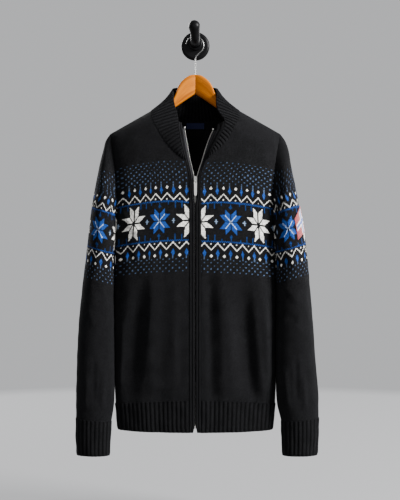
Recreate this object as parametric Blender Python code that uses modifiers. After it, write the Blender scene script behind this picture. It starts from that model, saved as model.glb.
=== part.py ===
"""A zip-front nordic cardigan on a wooden hanger that hangs from a round wall hook.

Metres, +Z up. X runs to the viewer's right, the wall is the plane Y = 0 and the viewer is at -Y.
The origin is the middle of the back of the wall plate. Left and right are the wearer's, so the
wearer's left side is at +X.

The body, the sleeves and the collar are smooth surfaces of two numbers. A piece of cloth is a
patch of such a surface with a thickness along shared normals, so the two sides of a seam stay
parallel and SEAM apart, whatever way the cloth turns there. Solidify would turn each rim by its
own faces and make neighbours cross, so the walls are lofted here between two sets of sections.
"""

from collections import namedtuple

import bmesh
import bpy
import numpy as np
from mathutils import Matrix

# Cloth thicknesses and the gap left at a seam.
KNIT = 0.0025
RIB = 0.0032
COLLAR_WALL = 0.0046
BAND_WALL = 0.0034
TAPE_WALL = 0.0008
PATCH_WALL = 0.0009
SEAM = 0.0003
STEP = 1e-3

# The shoulder line runs along the hanger's arms.
RIDGE_TOP_Z = -0.0957
TIP_X = 0.1880
TIP_Z = -0.2075
RIDGE_BACK_Y = -0.028
RIDGE_REACH_Y = -0.042
RIDGE_POWER = 0.85
FRONT_ROUND = 0.060
BACK_ROUND = 0.050

# The armhole is a tall loop from the shoulder tip down to the armpit.
ARMPIT_X = 0.1770
ARMPIT_Z = -0.4400
ARMHOLE_Y = -0.0670
ARMHOLE_TILT = -0.0030
ARMHOLE_HALF_DEPTH = 0.0210
ARMHOLE_BOW = 0.0105

# Steps down the side: 0 is the shoulder, 1 the armpit, 2 the top of the hem rib, 3 its end.
HEM_TOP_SIDE_Z = -0.8040
HEM_END_SIDE_Z = -0.8610
CORNER_POWER = 3.0
MIDDLE_SPEED = 1.1
CORNER_SPEED = 6.0

# One row for each level of the body, by the height of its side. droop is how far the side hangs
# below the middle, flatness the power that keeps the middle level, front_y and back_y the depths.
BodyRow = namedtuple("BodyRow", "side_z droop flatness front_y back_y")
BODY = [
    BodyRow(-0.8610, -0.0035, 2.2, -0.098, -0.025),
    BodyRow(-0.8040, 0.0097, 2.2, -0.100, -0.024),
    BodyRow(-0.7130, 0.0090, 2.2, -0.104, -0.022),
    BodyRow(-0.6220, 0.0100, 2.2, -0.108, -0.020),
    BodyRow(-0.5310, 0.0120, 2.2, -0.111, -0.018),
    BodyRow(-0.4400, 0.0150, 2.2, -0.113, -0.014),
    BodyRow(-0.3920, 0.0160, 2.2, -0.114, -0.011),
    BodyRow(-0.2984, 0.0190, 2.0, -0.113, -0.009),
    BodyRow(-0.2497, 0.0360, 1.4, -0.111, -0.009),
    BodyRow(-0.2203, 0.0660, 1.1, -0.107, -0.010),
    BodyRow(-0.2075, 0.1118, 1.0, -0.100, -0.014),
]

SideRow = namedtuple("SideRow", "z x y")
SIDE = [
    SideRow(-0.8610, 0.1725, -0.0575),
    SideRow(-0.8270, 0.1750, -0.0570),
    SideRow(-0.8040, 0.1775, -0.0570),
    SideRow(-0.7130, 0.1805, -0.0570),
    SideRow(-0.6220, 0.1810, -0.0580),
    SideRow(-0.5310, 0.1795, -0.0605),
    SideRow(-0.4691, 0.1766, -0.0630),
    SideRow(-0.4400, 0.1770, -0.0640),
]

# Long soft folds of the body. Each is a valley line from (top_x, top_z) to (end_x, end_z): its
# wall on the gentle side is wide, the other wall is steep. Positive depth sinks the cloth.
FoldRow = namedtuple("FoldRow", "top_x top_z end_x end_z gentle steep depth")
FRONT_FOLDS = [
    FoldRow(0.098, -0.500, 0.128, -0.800, -0.046, 0.026, 0.0110),
    FoldRow(0.032, -0.440, 0.040, -0.800, -0.018, 0.026, 0.0050),
    FoldRow(-0.112, -0.500, -0.142, -0.790, -0.030, 0.028, 0.0100),
    FoldRow(-0.066, -0.430, -0.075, -0.800, -0.030, 0.030, 0.0060),
]
BACK_FOLDS = [
    FoldRow(0.070, -0.360, 0.115, -0.800, -0.036, 0.030, 0.0080),
    FoldRow(-0.005, -0.420, 0.012, -0.800, -0.030, 0.034, 0.0050),
    FoldRow(-0.085, -0.380, -0.118, -0.800, -0.032, 0.036, 0.0085),
]

# One row for each ring of a sleeve, from the armhole (0) to its end (1) and the cuff (1 to 2).
# A ring runs from an outer point to an inner point and bulges to front_y and back_y.
SleeveRow = namedtuple(
    "SleeveRow", "along out_z out_left out_right in_z in_left in_right front_y back_y bow"
)
SLEEVE = [
    SleeveRow(0.000, -0.2075, 0.1880, 0.1880, -0.4400, 0.1770, 0.1770, -0.0880, -0.0460, 0.0105),
    SleeveRow(0.033, -0.2245, 0.1995, 0.1985, -0.4415, 0.1776, 0.1776, -0.0985, -0.0370, 0.0070),
    SleeveRow(0.064, -0.2436, 0.2062, 0.2035, -0.4430, 0.1780, 0.1780, -0.1060, -0.0290, 0.0040),
    SleeveRow(0.117, -0.2767, 0.2120, 0.2115, -0.4470, 0.1786, 0.1784, -0.1130, -0.0220, 0.0010),
    SleeveRow(0.188, -0.3207, 0.2210, 0.2205, -0.4550, 0.1793, 0.1790, -0.1150, -0.0190, 0.0000),
    SleeveRow(0.283, -0.3802, 0.2324, 0.2303, -0.4700, 0.1800, 0.1794, -0.1160, -0.0190, 0.0000),
    SleeveRow(0.347, -0.4199, 0.2397, 0.2348, -0.4870, 0.1808, 0.1798, -0.1150, -0.0230, 0.0000),
    SleeveRow(0.466, -0.4949, 0.2490, 0.2430, -0.5350, 0.1822, 0.1806, -0.1130, -0.0320, 0.0000),
    SleeveRow(0.539, -0.5411, 0.2525, 0.2485, -0.5720, 0.1832, 0.1812, -0.1120, -0.0370, 0.0000),
    SleeveRow(0.661, -0.6183, 0.2589, 0.2560, -0.6420, 0.1838, 0.1818, -0.1100, -0.0440, 0.0000),
    SleeveRow(0.800, -0.7064, 0.2649, 0.2605, -0.7240, 0.1840, 0.1820, -0.1080, -0.0480, 0.0000),
    SleeveRow(0.939, -0.7946, 0.2715, 0.2625, -0.8060, 0.1850, 0.1822, -0.1060, -0.0510, 0.0000),
    SleeveRow(1.000, -0.8332, 0.2719, 0.2624, -0.8410, 0.1890, 0.1845, -0.1040, -0.0540, 0.0000),
    SleeveRow(1.500, -0.8750, 0.2712, 0.2622, -0.8790, 0.1903, 0.1866, -0.1030, -0.0545, 0.0000),
    SleeveRow(2.000, -0.9150, 0.2684, 0.2606, -0.9160, 0.1911, 0.1880, -0.1025, -0.0550, 0.0000),
]

# The open front edges, a row for each height of a band's outer edge. The band's inner edge is at
# in_x, in_rise higher and in_back nearer the wall; the row of teeth lies beyond it at tooth_x.
# out_y is the outer edge's depth where the collar stands; below, the edge lies on the body.
EdgeRow = namedtuple("EdgeRow", "z out_x out_y in_x in_rise in_back tooth_x tooth_rise")
EDGE_LEFT = [
    EdgeRow(-0.8640, 0.0127, 0.0, 0.0042, 0.000, 0.0000, 0.0015, 0.000),
    EdgeRow(-0.8520, 0.0127, 0.0, 0.0018, 0.000, 0.0000, 0.0015, 0.000),
    EdgeRow(-0.8430, 0.0127, 0.0, 0.0006, 0.000, 0.0000, 0.0015, 0.000),
    EdgeRow(-0.3640, 0.0127, 0.0, 0.0006, 0.000, 0.0000, 0.0015, 0.000),
    EdgeRow(-0.3500, 0.0128, 0.0, 0.0040, 0.000, 0.0000, 0.0015, 0.000),
    EdgeRow(-0.3400, 0.0129, 0.0, 0.0052, 0.000, 0.0000, 0.0015, 0.000),
    EdgeRow(-0.3180, 0.0130, 0.0, 0.0066, 0.000, 0.0000, 0.0016, 0.000),
    EdgeRow(-0.3030, 0.0138, 0.0, 0.0080, 0.000, 0.0000, 0.0044, 0.000),
    EdgeRow(-0.2900, 0.0170, 0.0, 0.0110, 0.000, 0.0016, 0.0080, 0.000),
    EdgeRow(-0.2645, 0.0257, -0.1130, 0.0190, 0.000, 0.0045, 0.0161, 0.000),
    EdgeRow(-0.2329, 0.0432, -0.1150, 0.0300, -0.003, 0.0060, 0.0250, -0.003),
    EdgeRow(-0.2088, 0.0564, -0.1130, 0.0395, -0.004, 0.0065, 0.0345, -0.002),
    EdgeRow(-0.1960, 0.0636, -0.1095, 0.0450, -0.005, 0.0070, 0.0400, -0.003),
    EdgeRow(-0.1820, 0.0640, -0.1030, 0.0480, -0.007, 0.0075, 0.0430, -0.007),
]
EDGE_RIGHT = [
    EdgeRow(-0.8640, 0.0133, 0.0, 0.0045, 0.000, 0.0000, 0.0015, 0.000),
    EdgeRow(-0.8520, 0.0133, 0.0, 0.0018, 0.000, 0.0000, 0.0015, 0.000),
    EdgeRow(-0.8430, 0.0133, 0.0, 0.0006, 0.000, 0.0000, 0.0015, 0.000),
    EdgeRow(-0.3640, 0.0133, 0.0, 0.0006, 0.000, 0.0000, 0.0015, 0.000),
    EdgeRow(-0.3500, 0.0134, 0.0, 0.0040, 0.000, 0.0000, 0.0015, 0.000),
    EdgeRow(-0.3400, 0.0134, 0.0, 0.0052, 0.000, 0.0000, 0.0015, 0.000),
    EdgeRow(-0.3180, 0.0134, 0.0, 0.0062, 0.000, 0.0000, 0.0015, 0.000),
    EdgeRow(-0.3030, 0.0137, 0.0, 0.0073, 0.000, 0.0000, 0.0029, 0.000),
    EdgeRow(-0.2900, 0.0158, 0.0, 0.0096, 0.000, 0.0016, 0.0056, 0.000),
    EdgeRow(-0.2645, 0.0222, -0.1130, 0.0150, 0.000, 0.0045, 0.0115, 0.000),
    EdgeRow(-0.2329, 0.0305, -0.1150, 0.0212, 0.000, 0.0055, 0.0175, 0.000),
    EdgeRow(-0.2088, 0.0352, -0.1130, 0.0250, 0.000, 0.0055, 0.0215, 0.000),
    EdgeRow(-0.1960, 0.0372, -0.1095, 0.0272, 0.000, 0.0055, 0.0238, 0.000),
    EdgeRow(-0.1830, 0.0365, -0.1035, 0.0290, -0.003, 0.0060, 0.0252, -0.003),
]

# The collar, a row for each rib line from the front corner of the neck seam to the middle of the
# back. Up to CORNER the top is the band's outer edge, so only its height counts there.
CollarRow = namedtuple("CollarRow", "around seam_x seam_z top_x top_y top_z")
CORNER = 0.33
NECK_POINT = 0.64
COLLAR_LEFT = [
    CollarRow(0.00, 0.0245, -0.2690, 0.0290, -0.1135, -0.2580),
    CollarRow(0.10, 0.0520, -0.2440, 0.0432, -0.1150, -0.2329),
    CollarRow(0.20, 0.0715, -0.2225, 0.0564, -0.1130, -0.2088),
    CollarRow(0.27, 0.0790, -0.2085, 0.0636, -0.1095, -0.1960),
    CollarRow(0.33, 0.0855, -0.1965, 0.0640, -0.1030, -0.1820),
    CollarRow(0.41, 0.0915, -0.1840, 0.0583, -0.0940, -0.1700),
    CollarRow(0.49, 0.0968, -0.1725, 0.0490, -0.0830, -0.1550),
    CollarRow(0.57, 0.0995, -0.1625, 0.0460, -0.0700, -0.1370),
    CollarRow(0.64, 0.0997, -0.1550, 0.0475, -0.0540, -0.1170),
    CollarRow(0.74, 0.0870, -0.1600, 0.0490, -0.0290, -0.1000),
    CollarRow(0.87, 0.0480, -0.1700, 0.0300, -0.0130, -0.0945),
    CollarRow(1.00, 0.0000, -0.1730, 0.0000, -0.0100, -0.0920),
]
COLLAR_RIGHT = [
    CollarRow(0.00, 0.0210, -0.2690, 0.0240, -0.1135, -0.2580),
    CollarRow(0.10, 0.0430, -0.2530, 0.0280, -0.1145, -0.2420),
    CollarRow(0.20, 0.0620, -0.2340, 0.0340, -0.1140, -0.2160),
    CollarRow(0.27, 0.0750, -0.2150, 0.0372, -0.1095, -0.1960),
    CollarRow(0.33, 0.0840, -0.1990, 0.0365, -0.1035, -0.1830),
    CollarRow(0.41, 0.0912, -0.1850, 0.0385, -0.0940, -0.1680),
    CollarRow(0.49, 0.0966, -0.1730, 0.0425, -0.0830, -0.1520),
    CollarRow(0.57, 0.0995, -0.1625, 0.0465, -0.0700, -0.1370),
    CollarRow(0.64, 0.0997, -0.1550, 0.0490, -0.0540, -0.1170),
    CollarRow(0.74, 0.0870, -0.1600, 0.0500, -0.0290, -0.1000),
    CollarRow(0.87, 0.0480, -0.1700, 0.0300, -0.0130, -0.0945),
    CollarRow(1.00, 0.0000, -0.1730, 0.0000, -0.0100, -0.0920),
]

# Sampling of the panels: rows by step down the side, columns by share of the width. The part of
# the width up to NECK_SHARE hangs from the neck seam, the rest from the shoulder.
NECK_SHARE = 0.5
ARM_ROWS = [0.0, 0.03, 0.07, 0.13, 0.21, 0.31, 0.43, 0.55, 0.67, 0.79, 0.9, 1.0]
BODY_ROWS = ARM_ROWS + [1.13, 1.28, 1.45, 1.63, 1.82, 2.0]
HEM_ROWS = [2.0, 2.4, 3.0]
FRONT_NECK = [row.around for row in COLLAR_LEFT if row.around <= NECK_POINT]
BACK_NECK = [0.64, 0.69, 0.74, 0.80, 0.87, 0.935, 1.0]
FRONT_COLUMNS = [NECK_SHARE * around / NECK_POINT for around in FRONT_NECK]
BACK_COLUMNS = [NECK_SHARE * (1 - around) / (1 - NECK_POINT) for around in BACK_NECK[::-1]]
SHOULDER_COLUMNS = [0.58, 0.66, 0.74, 0.81, 0.88, 0.94, 1.0]
SLEEVE_ROWS = [0.0, 0.033, 0.064, 0.1, 0.14, 0.188, 0.25, 0.32, 0.4, 0.48, 0.57, 0.67, 0.78, 0.89, 1.0]
CUFF_ROWS = [1.0, 1.4, 2.0]
COLLAR_HEIGHTS = [0.0, 0.33, 0.66, 1.0]

# The collar swells a little between its edges, less towards the back, and thins towards its foot.
COLLAR_SWELL = 0.0012
SWELL_FADE = 0.9
FOOT_BLEND = 2.5
BAND_CROWN = 0.0008

# Metal and cloth trim of the zip.
TOOTH_WIDTH = 0.0025
TOOTH_DEPTH = 0.0024
TAPE_REACH = 0.0050
TAPE_BEND = 0.0035
TAPE_BEHIND = 0.0044
ZIP_END_Z = -0.8480
ZIP_TOP_Z = -0.1985
STOP_TALL = 0.0035
STOP_SHARE = 0.7
BOX_HALF_WIDTH = 0.0036
BOX_TALL = 0.0075
METAL_ROUND = 0.0004
SLIDER_X = 0.0007
SLIDER_TOP_Z = -0.3035
SLIDER_END_Z = -0.3175
SLIDER_HALF_WIDTH = 0.0042
SLIDER_PLATE = 0.0015
SLIDER_SLOT = 0.0036
WEDGE_WIDTH = 0.0010
WEDGE_TALL = 0.0030
BAIL_DROP = 0.0030
BAIL_RADIUS = 0.0023
BAIL_WIRE = 0.0006
BAIL_ROOT = 0.0008
PULL_WIDTH = 0.0068
PULL_LENGTH = 0.0330
PULL_THICK = 0.0014
PULL_EYE_WIDTH = 0.0032
PULL_EYE_TALL = 0.0034
PULL_RIM = 0.0012
PULL_GAP = 0.0004

# The bare neck label, and the patch by its turns round the sleeve and its reach along it.
LABEL_HALF_WIDTH = 0.0200
LABEL_TOP_Z = -0.1765
LABEL_END_Z = -0.1900
LABEL_GAP = 0.0006
PATCH_TURN = (66, -22)
PATCH_ALONG = (0.262, 0.352)
PATCH_GAP = 0.0005

# The wooden hanger: a row for each section of one arm.
ArmRow = namedtuple("ArmRow", "x top_z end_z half_thick")
ARM = [
    ArmRow(0.0000, -0.0690, -0.1130, 0.0070),
    ArmRow(0.0100, -0.0705, -0.1192, 0.0070),
    ArmRow(0.0200, -0.0758, -0.1262, 0.0070),
    ArmRow(0.0295, -0.0842, -0.1330, 0.0070),
    ArmRow(0.0375, -0.0955, -0.1388, 0.0070),
    ArmRow(0.0430, -0.1110, -0.1428, 0.0070),
    ArmRow(0.0500, -0.1250, -0.1480, 0.0070),
    ArmRow(0.0620, -0.1370, -0.1572, 0.0070),
    ArmRow(0.0800, -0.1515, -0.1712, 0.0070),
    ArmRow(0.1000, -0.1640, -0.1862, 0.0070),
    ArmRow(0.1200, -0.1722, -0.1975, 0.0070),
    ArmRow(0.1400, -0.1840, -0.2090, 0.0070),
    ArmRow(0.1620, -0.1978, -0.2220, 0.0068),
    ArmRow(0.1760, -0.2070, -0.2290, 0.0056),
    ArmRow(0.1820, -0.2140, -0.2270, 0.0036),
]
ARM_EDGE = 0.0035
WIRE = 0.00175
WIRE_Y = -0.0280
HOOK_X = -0.0010
HOOK_Z = -0.0025
HOOK_RADIUS = 0.0195
HOOK_SINK = 0.0150
HOOK_START = -48
HOOK_END = 168
HOOK_NECK = 0.0130
HOOK_NECK_PULL = 0.0080
HOOK_ARC_PULL = 0.0070

# The wall hook: its domed plate, the ring round the peg's root, and the peg that turns up.
PLATE_RADIUS = 0.0325
PLATE_THICK = 0.0080
PLATE_EDGE = 0.0015
PLATE_ROUND = 0.0075
BOSS_RADIUS = 0.0155
BOSS_END_Y = -0.0150
BOSS_ROUND = 0.0025
PEG_RADIUS = 0.0105
PEG_Z = 0.0044
PEG_STRAIGHT_Y = (-0.0160, -0.0270)
PEG_BEND_Y = -0.0370
PEG_BEND_RADIUS = 0.0230
PEG_BEND_ANGLE = 62
PEG_LEAN = 0.0008
PEG_WAY_X = -0.10
PEG_REACH = (0.0060, 0.0120)
PEG_WAIST = 0.98
PEG_SHOULDER = 1.05
KNOB_RADIUS = 0.0122
TURN_STEPS = 32

# Colours and finishes.
CHARCOAL = (0.012, 0.012, 0.014, 1.0)
NAVY = (0.010, 0.014, 0.060, 1.0)
RED = (0.560, 0.020, 0.030, 1.0)
SILVER = (0.620, 0.610, 0.590, 1.0)
HONEY = (0.620, 0.270, 0.060, 1.0)
BLACK_METAL = (0.015, 0.015, 0.017, 1.0)


# Scene, collection and materials.


def clear_scene():
    for thing in list(bpy.data.objects):
        bpy.data.objects.remove(thing, do_unlink=True)


def new_collection(name):
    collection = bpy.data.collections.new(name)
    bpy.context.scene.collection.children.link(collection)
    return collection


def new_material(name, colour, roughness, metallic):
    material = bpy.data.materials.new(name)
    material.use_nodes = True
    shader = material.node_tree.nodes["Principled BSDF"]
    shader.inputs["Base Color"].default_value = colour
    shader.inputs["Roughness"].default_value = roughness
    shader.inputs["Metallic"].default_value = metallic
    return material


clear_scene()
PARTS = new_collection("nordic cardigan")
CUTTERS = new_collection("cutters")
CUTTERS.hide_render = True
FINISHES = {
    "knit": new_material("charcoal knit", CHARCOAL, 0.95, 0.0),
    "rib": new_material("charcoal rib", CHARCOAL, 0.95, 0.0),
    "tape": new_material("zip tape", CHARCOAL, 0.85, 0.0),
    "label": new_material("bare neck label", NAVY, 0.70, 0.0),
    "patch": new_material("sewn patch", RED, 0.80, 0.0),
    "zip": new_material("silver zip metal", SILVER, 0.30, 1.0),
    "wood": new_material("varnished wood", HONEY, 0.35, 0.0),
    "wire": new_material("hanger wire", SILVER, 0.22, 1.0),
    "hook": new_material("black hook", BLACK_METAL, 0.35, 0.6),
}


# Curves through tables, and the helpers that all surfaces share.


def through(rows, column, at):
    """A smooth curve through one column of a table against its first column.

    Each slope is the harmonic mean of the slopes to its two neighbours, or level where they
    turn, so the curve never overshoots a row.
    """
    keys = np.array([row[0] for row in rows], float)
    values = np.array([getattr(row, column) for row in rows], float)
    gaps = np.diff(keys)
    steps = np.diff(values) / gaps
    slopes = np.zeros(len(keys))
    before, after = steps[:-1], steps[1:]
    same = before * after > 0
    total = np.where(same, before + after, 1.0)
    slopes[1:-1] = np.where(same, 2 * before * after / total, 0.0)
    slopes[0], slopes[-1] = steps[0], steps[-1]
    at = np.clip(np.asarray(at, float), keys[0], keys[-1])
    i = np.clip(np.searchsorted(keys, at, side="right") - 1, 0, len(gaps) - 1)
    f = (at - keys[i]) / gaps[i]
    return (
        (2 * f**3 - 3 * f**2 + 1) * values[i]
        + (f**3 - 2 * f**2 + f) * gaps[i] * slopes[i]
        + (3 * f**2 - 2 * f**3) * values[i + 1]
        + (f**3 - f**2) * gaps[i] * slopes[i + 1]
    )


def smooth(value):
    value = np.clip(value, 0.0, 1.0)
    return value * value * (3 - 2 * value)


def unit(vectors):
    return vectors / np.linalg.norm(vectors, axis=-1, keepdims=True)


def inward(surface, first, second, centre):
    """Unit normals of a surface of two numbers, turned towards the point centre."""
    along = surface(first + STEP, second) - surface(first - STEP, second)
    down = surface(first, second + STEP) - surface(first, second - STEP)
    normals = unit(np.cross(along, down))
    facing = np.sum(normals * (centre - surface(first, second)))
    return normals if facing > 0 else -normals


# The body: the shoulder line, the armhole, the side seam and the rows between them.


def rounded(across):
    """Width and depth along a quarter of a flattened round, 0 at the middle and 1 at the side."""
    across = np.clip(across, 0.0, 1.0)
    lean = MIDDLE_SPEED * across / np.maximum(1 - across**CORNER_SPEED, 1e-9)
    angle = np.arctan(lean)
    reach = (np.sin(angle) ** CORNER_POWER + np.cos(angle) ** CORNER_POWER) ** (-1 / CORNER_POWER)
    return reach * np.sin(angle), reach * np.cos(angle)


ACROSS_SAMPLES = np.linspace(0.0, 1.0, 2001)
WIDTH_SAMPLES = rounded(ACROSS_SAMPLES)[0]


def across_at(width):
    return np.interp(width, WIDTH_SAMPLES, ACROSS_SAMPLES)


def armhole(turn):
    """The armhole loop: turn is 0 at the shoulder tip and pi at the armpit, positive in front."""
    middle_x = (TIP_X + ARMPIT_X) / 2
    middle_z = (TIP_Z + ARMPIT_Z) / 2
    x = middle_x + (TIP_X - middle_x) * np.cos(turn) - ARMHOLE_BOW * np.sin(turn) ** 2
    y = ARMHOLE_Y + ARMHOLE_TILT * np.cos(turn) - ARMHOLE_HALF_DEPTH * np.sin(turn)
    z = middle_z + (TIP_Z - middle_z) * np.cos(turn)
    return x, y, z


def side_edge(down, front):
    """The outer edge of a panel: the armhole to down 1, then the side seam."""
    turn = np.pi * np.clip(down, 0.0, 1.0) * (1 if front else -1)
    x, y, z = armhole(turn)
    to_hem = (HEM_TOP_SIDE_Z - ARMPIT_Z) * np.clip(down - 1, 0.0, 1.0)
    to_end = (HEM_END_SIDE_Z - HEM_TOP_SIDE_Z) * np.clip(down - 2, 0.0, 1.0)
    side_z = ARMPIT_Z + to_hem + to_end
    below = down > 1
    x = np.where(below, through(SIDE, "x", side_z), x)
    y = np.where(below, through(SIDE, "y", side_z), y)
    return x, y, np.where(below, side_z, z)


def ridge(x):
    """Depth and height of the shoulder line above a place x from the middle."""
    y = RIDGE_BACK_Y + RIDGE_REACH_Y * (np.abs(x) / TIP_X) ** RIDGE_POWER
    return y, RIDGE_TOP_Z + (TIP_Z - RIDGE_TOP_Z) * np.abs(x) / TIP_X


def fold_depth(x, z, folds):
    """How far the long folds sink the cloth at a place of the front or the back."""
    sunk = np.zeros(np.broadcast(x, z).shape)
    for fold in folds:
        run = (fold.top_z - z) / (fold.top_z - fold.end_z)
        beside = x - (fold.top_x + (fold.end_x - fold.top_x) * run)
        width = np.where(beside < 0, -fold.gentle, fold.steep)
        wall = 1 - smooth(np.abs(beside) / width)
        fade = smooth(run / 0.45) * (1 - 0.75 * smooth((run - 0.75) / 0.35))
        sunk = sunk + fold.depth * wall * fade
    return sunk


def body(across, down, front, side):
    """A point of the body: across 0 to 1 from the middle to the side, down 0 to 3."""
    across, down = np.broadcast_arrays(across, np.clip(down, 0.0, 3.0))
    width, depth = rounded(across)
    side_x, side_y, side_z = side_edge(down, front)
    middle_z = side_z + through(BODY, "droop", side_z)
    x = side_x * width
    z = middle_z + (side_z - middle_z) * width ** through(BODY, "flatness", side_z)
    ridge_y, ridge_z = ridge(x)
    fall = np.clip((ridge_z - z) / (FRONT_ROUND if front else BACK_ROUND), 0.0, 1.0)
    reach = np.sqrt(1 - (1 - fall) ** 2)
    sheet_y = through(BODY, "front_y" if front else "back_y", side_z)
    folds = FRONT_FOLDS if front else BACK_FOLDS
    sunk = fold_depth(side * x, z, folds) * (1 if front else -1)
    middle_y = np.where(down < 1, (side_y + side_edge(down, not front)[1]) / 2, side_y)
    bulge = ridge_y + (sheet_y - ridge_y) * reach - middle_y
    edge_share = np.clip((side_y - middle_y) / np.where(bulge == 0, 1.0, bulge), 0.0, 1.0) ** 3
    depth = np.cbrt(edge_share + (1 - edge_share) * depth**3)
    return np.stack([side * x, middle_y + (bulge + sunk) * depth, z], axis=-1)


def locate(x, z, front, side):
    """The (across, down) of the body at a given place x, z, found by halving."""
    low = np.zeros(np.shape(x))
    high = np.full(np.shape(x), 3.0)
    for _ in range(40):
        middle = (low + high) / 2
        width = np.clip(x / side_edge(middle, front)[0], 0.0, 1.0)
        above = body(across_at(width), middle, front, side)[..., 2] > z
        low = np.where(above, middle, low)
        high = np.where(above, high, middle)
    return across_at(np.clip(x / side_edge(low, front)[0], 0.0, 1.0)), low


def armhole_inward(turn):
    """The way into the cloth at the armhole, square to its loop, shared by body and sleeve."""
    _, ahead_y, ahead_z = armhole(turn + STEP)
    _, behind_y, behind_z = armhole(turn - STEP)
    ways = np.stack([0 * turn, behind_z - ahead_z, ahead_y - behind_y], axis=-1)
    return unit(ways)


def body_inward(across, down, front, side):
    centre = np.array([0.0, -0.062, -0.5])
    ways = inward(lambda a, d: body(a, d, front, side), across, down, centre)
    turn = np.pi * np.clip(down, 0.0, 1.0) * (1 if front else -1)
    at_armhole = (np.abs(across - 1) < 1e-6) & (down < 1 + 1e-6)
    return np.where(at_armhole[..., None], armhole_inward(turn), ways)


def sleeve(turn, along, side):
    """A point of a sleeve: turn is 0 at its outer line, positive in front; along is 0 to 2."""
    turn, along = np.broadcast_arrays(turn, np.clip(along, 0.0, 2.0))
    column = "left" if side > 0 else "right"
    out_x, in_x = through(SLEEVE, "out_" + column, along), through(SLEEVE, "in_" + column, along)
    out_z, in_z = through(SLEEVE, "out_z", along), through(SLEEVE, "in_z", along)
    front_y, back_y = through(SLEEVE, "front_y", along), through(SLEEVE, "back_y", along)
    tilt = ARMHOLE_TILT * (1 - smooth(along / 0.1))
    x = (out_x + in_x) / 2 + (out_x - in_x) / 2 * np.cos(turn)
    x = x - through(SLEEVE, "bow", along) * np.sin(turn) ** 2
    y = (front_y + back_y) / 2 - (back_y - front_y) / 2 * np.sin(turn) + tilt * np.cos(turn)
    z = (out_z + in_z) / 2 + (out_z - in_z) / 2 * np.cos(turn)
    return np.stack([side * (x + SEAM), y, z], axis=-1)


def sleeve_inward(turn, along, side):
    centre = np.array([side * 0.22, -0.07, -0.6])
    return inward(lambda t, a: sleeve(t, a, side), turn, along, centre)


# Panels: patches of the body between the neck seam, the shoulder, the side and the hem.


def tables(side):
    return (EDGE_LEFT, COLLAR_LEFT) if side > 0 else (EDGE_RIGHT, COLLAR_RIGHT)


def neck_seam(around, side):
    """The neck seam in the body's own numbers, from the front corner to the middle of the back."""
    edge, collar = tables(side)
    corner_x = through(edge, "out_x", collar[0].seam_z) + SEAM
    x = np.where(around == 0, corner_x, through(collar, "seam_x", around))
    z = through(collar, "seam_z", around)
    in_front = around < NECK_POINT
    across_front, down_front = locate(x, z, True, side)
    across_back, down_back = locate(x, z, False, side)
    down = np.where(in_front, down_front, down_back)
    down = np.where(np.abs(around - NECK_POINT) < 1e-6, 0.0, down)
    return np.where(in_front, across_front, across_back), down, in_front


def panel_places(columns, rows, front, side):
    """The (across, down) of a panel's grid, columns by share of its width, rows by level."""
    columns = np.asarray(columns, float)[None, :]
    rows = np.asarray(rows, float)[:, None]
    neck = np.minimum(columns / NECK_SHARE, 1.0)
    around = neck * NECK_POINT if front else 1 - neck * (1 - NECK_POINT)
    neck_across, neck_down, _ = neck_seam(around, side)
    shoulder = np.clip((columns - NECK_SHARE) / (1 - NECK_SHARE), 0.0, 1.0)
    point_across = across_at(through(tables(side)[1], "seam_x", NECK_POINT) / TIP_X)
    on_neck = columns < NECK_SHARE
    top_across = np.where(on_neck, neck_across, point_across + (1 - point_across) * shoulder)
    top_down = np.where(on_neck, neck_down, 0.0)
    down = top_down + (rows[-1] - top_down) * rows / rows[-1]
    start = band_across(down, top_down[:, :1], side) if front else np.zeros_like(down)
    top_share = (top_across - start[:1]) / (1 - start[:1])
    settle = smooth((down - top_down) / 1.3)
    share = top_share + (columns - top_share) * settle
    share = np.where(columns == 0, 0.0, share)
    return start + (1 - start) * share, down


def band_across(down, corner_down, side):
    """Where the band's outer edge lies across the front at each level, below the neck corner."""
    edge = tables(side)[0]
    down = np.maximum(down, corner_down)
    across = across_at(0.07) * np.ones_like(down)
    for _ in range(12):
        z = body(across, down, True, side)[..., 2]
        x = through(edge, "out_x", z) + SEAM
        across = across_at(x / side_edge(down, True)[0])
    return across


def draw_back(border, beside):
    """A border of a grid moved half a seam towards its neighbour, square to the seam."""
    along = unit(np.gradient(border, axis=0))
    inwards = beside - border
    square = inwards - along * np.sum(inwards * along, axis=-1, keepdims=True)
    return border + SEAM / 2 * unit(square)


def wall(face, ways, thick, top=False, foot=False, start=False, end=False):
    """The two sides of a cloth on a grid, drawn back at the chosen borders."""
    drawn = face.copy()
    if top:
        drawn[0] = draw_back(face[0], face[1])
    if foot:
        drawn[-1] = draw_back(face[-1], face[-2])
    if start:
        drawn[:, 0] += draw_back(face[:, 0], face[:, 1]) - face[:, 0]
    if end:
        drawn[:, -1] += draw_back(face[:, -1], face[:, -2]) - face[:, -1]
    return drawn, drawn + thick * ways


# Meshes.


def new_object(name, points, faces, finish):
    mesh = bpy.data.meshes.new(name)
    mesh.from_pydata(np.reshape(points, (-1, 3)).tolist(), [], [list(face) for face in faces])
    mesh.update()
    thing = bpy.data.objects.new(name, mesh)
    PARTS.objects.link(thing)
    thing.data.materials.append(FINISHES[finish])
    mesh.shade_smooth()
    mesh.set_sharp_from_angle(angle=np.radians(40))
    return thing


def quads(corner, right, below, across):
    return np.stack([corner, right, across, below], axis=-1).reshape(-1, 4)


def rim(outer, outer_next, inner, inner_next, points):
    """The edge of a wall in triangles, split the same way on both sides of a seam."""
    place = np.abs(points[:, 0]) + 0.5 * points[:, 2]
    turned_round = (place[outer] > place[outer_next])[:, None]
    first = np.where(
        turned_round,
        np.stack([outer_next, outer, inner], axis=-1),
        np.stack([outer_next, outer, inner_next], axis=-1),
    )
    second = np.where(
        turned_round,
        np.stack([outer_next, inner, inner_next], axis=-1),
        np.stack([outer, inner, inner_next], axis=-1),
    )
    return np.concatenate([first, second])


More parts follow.
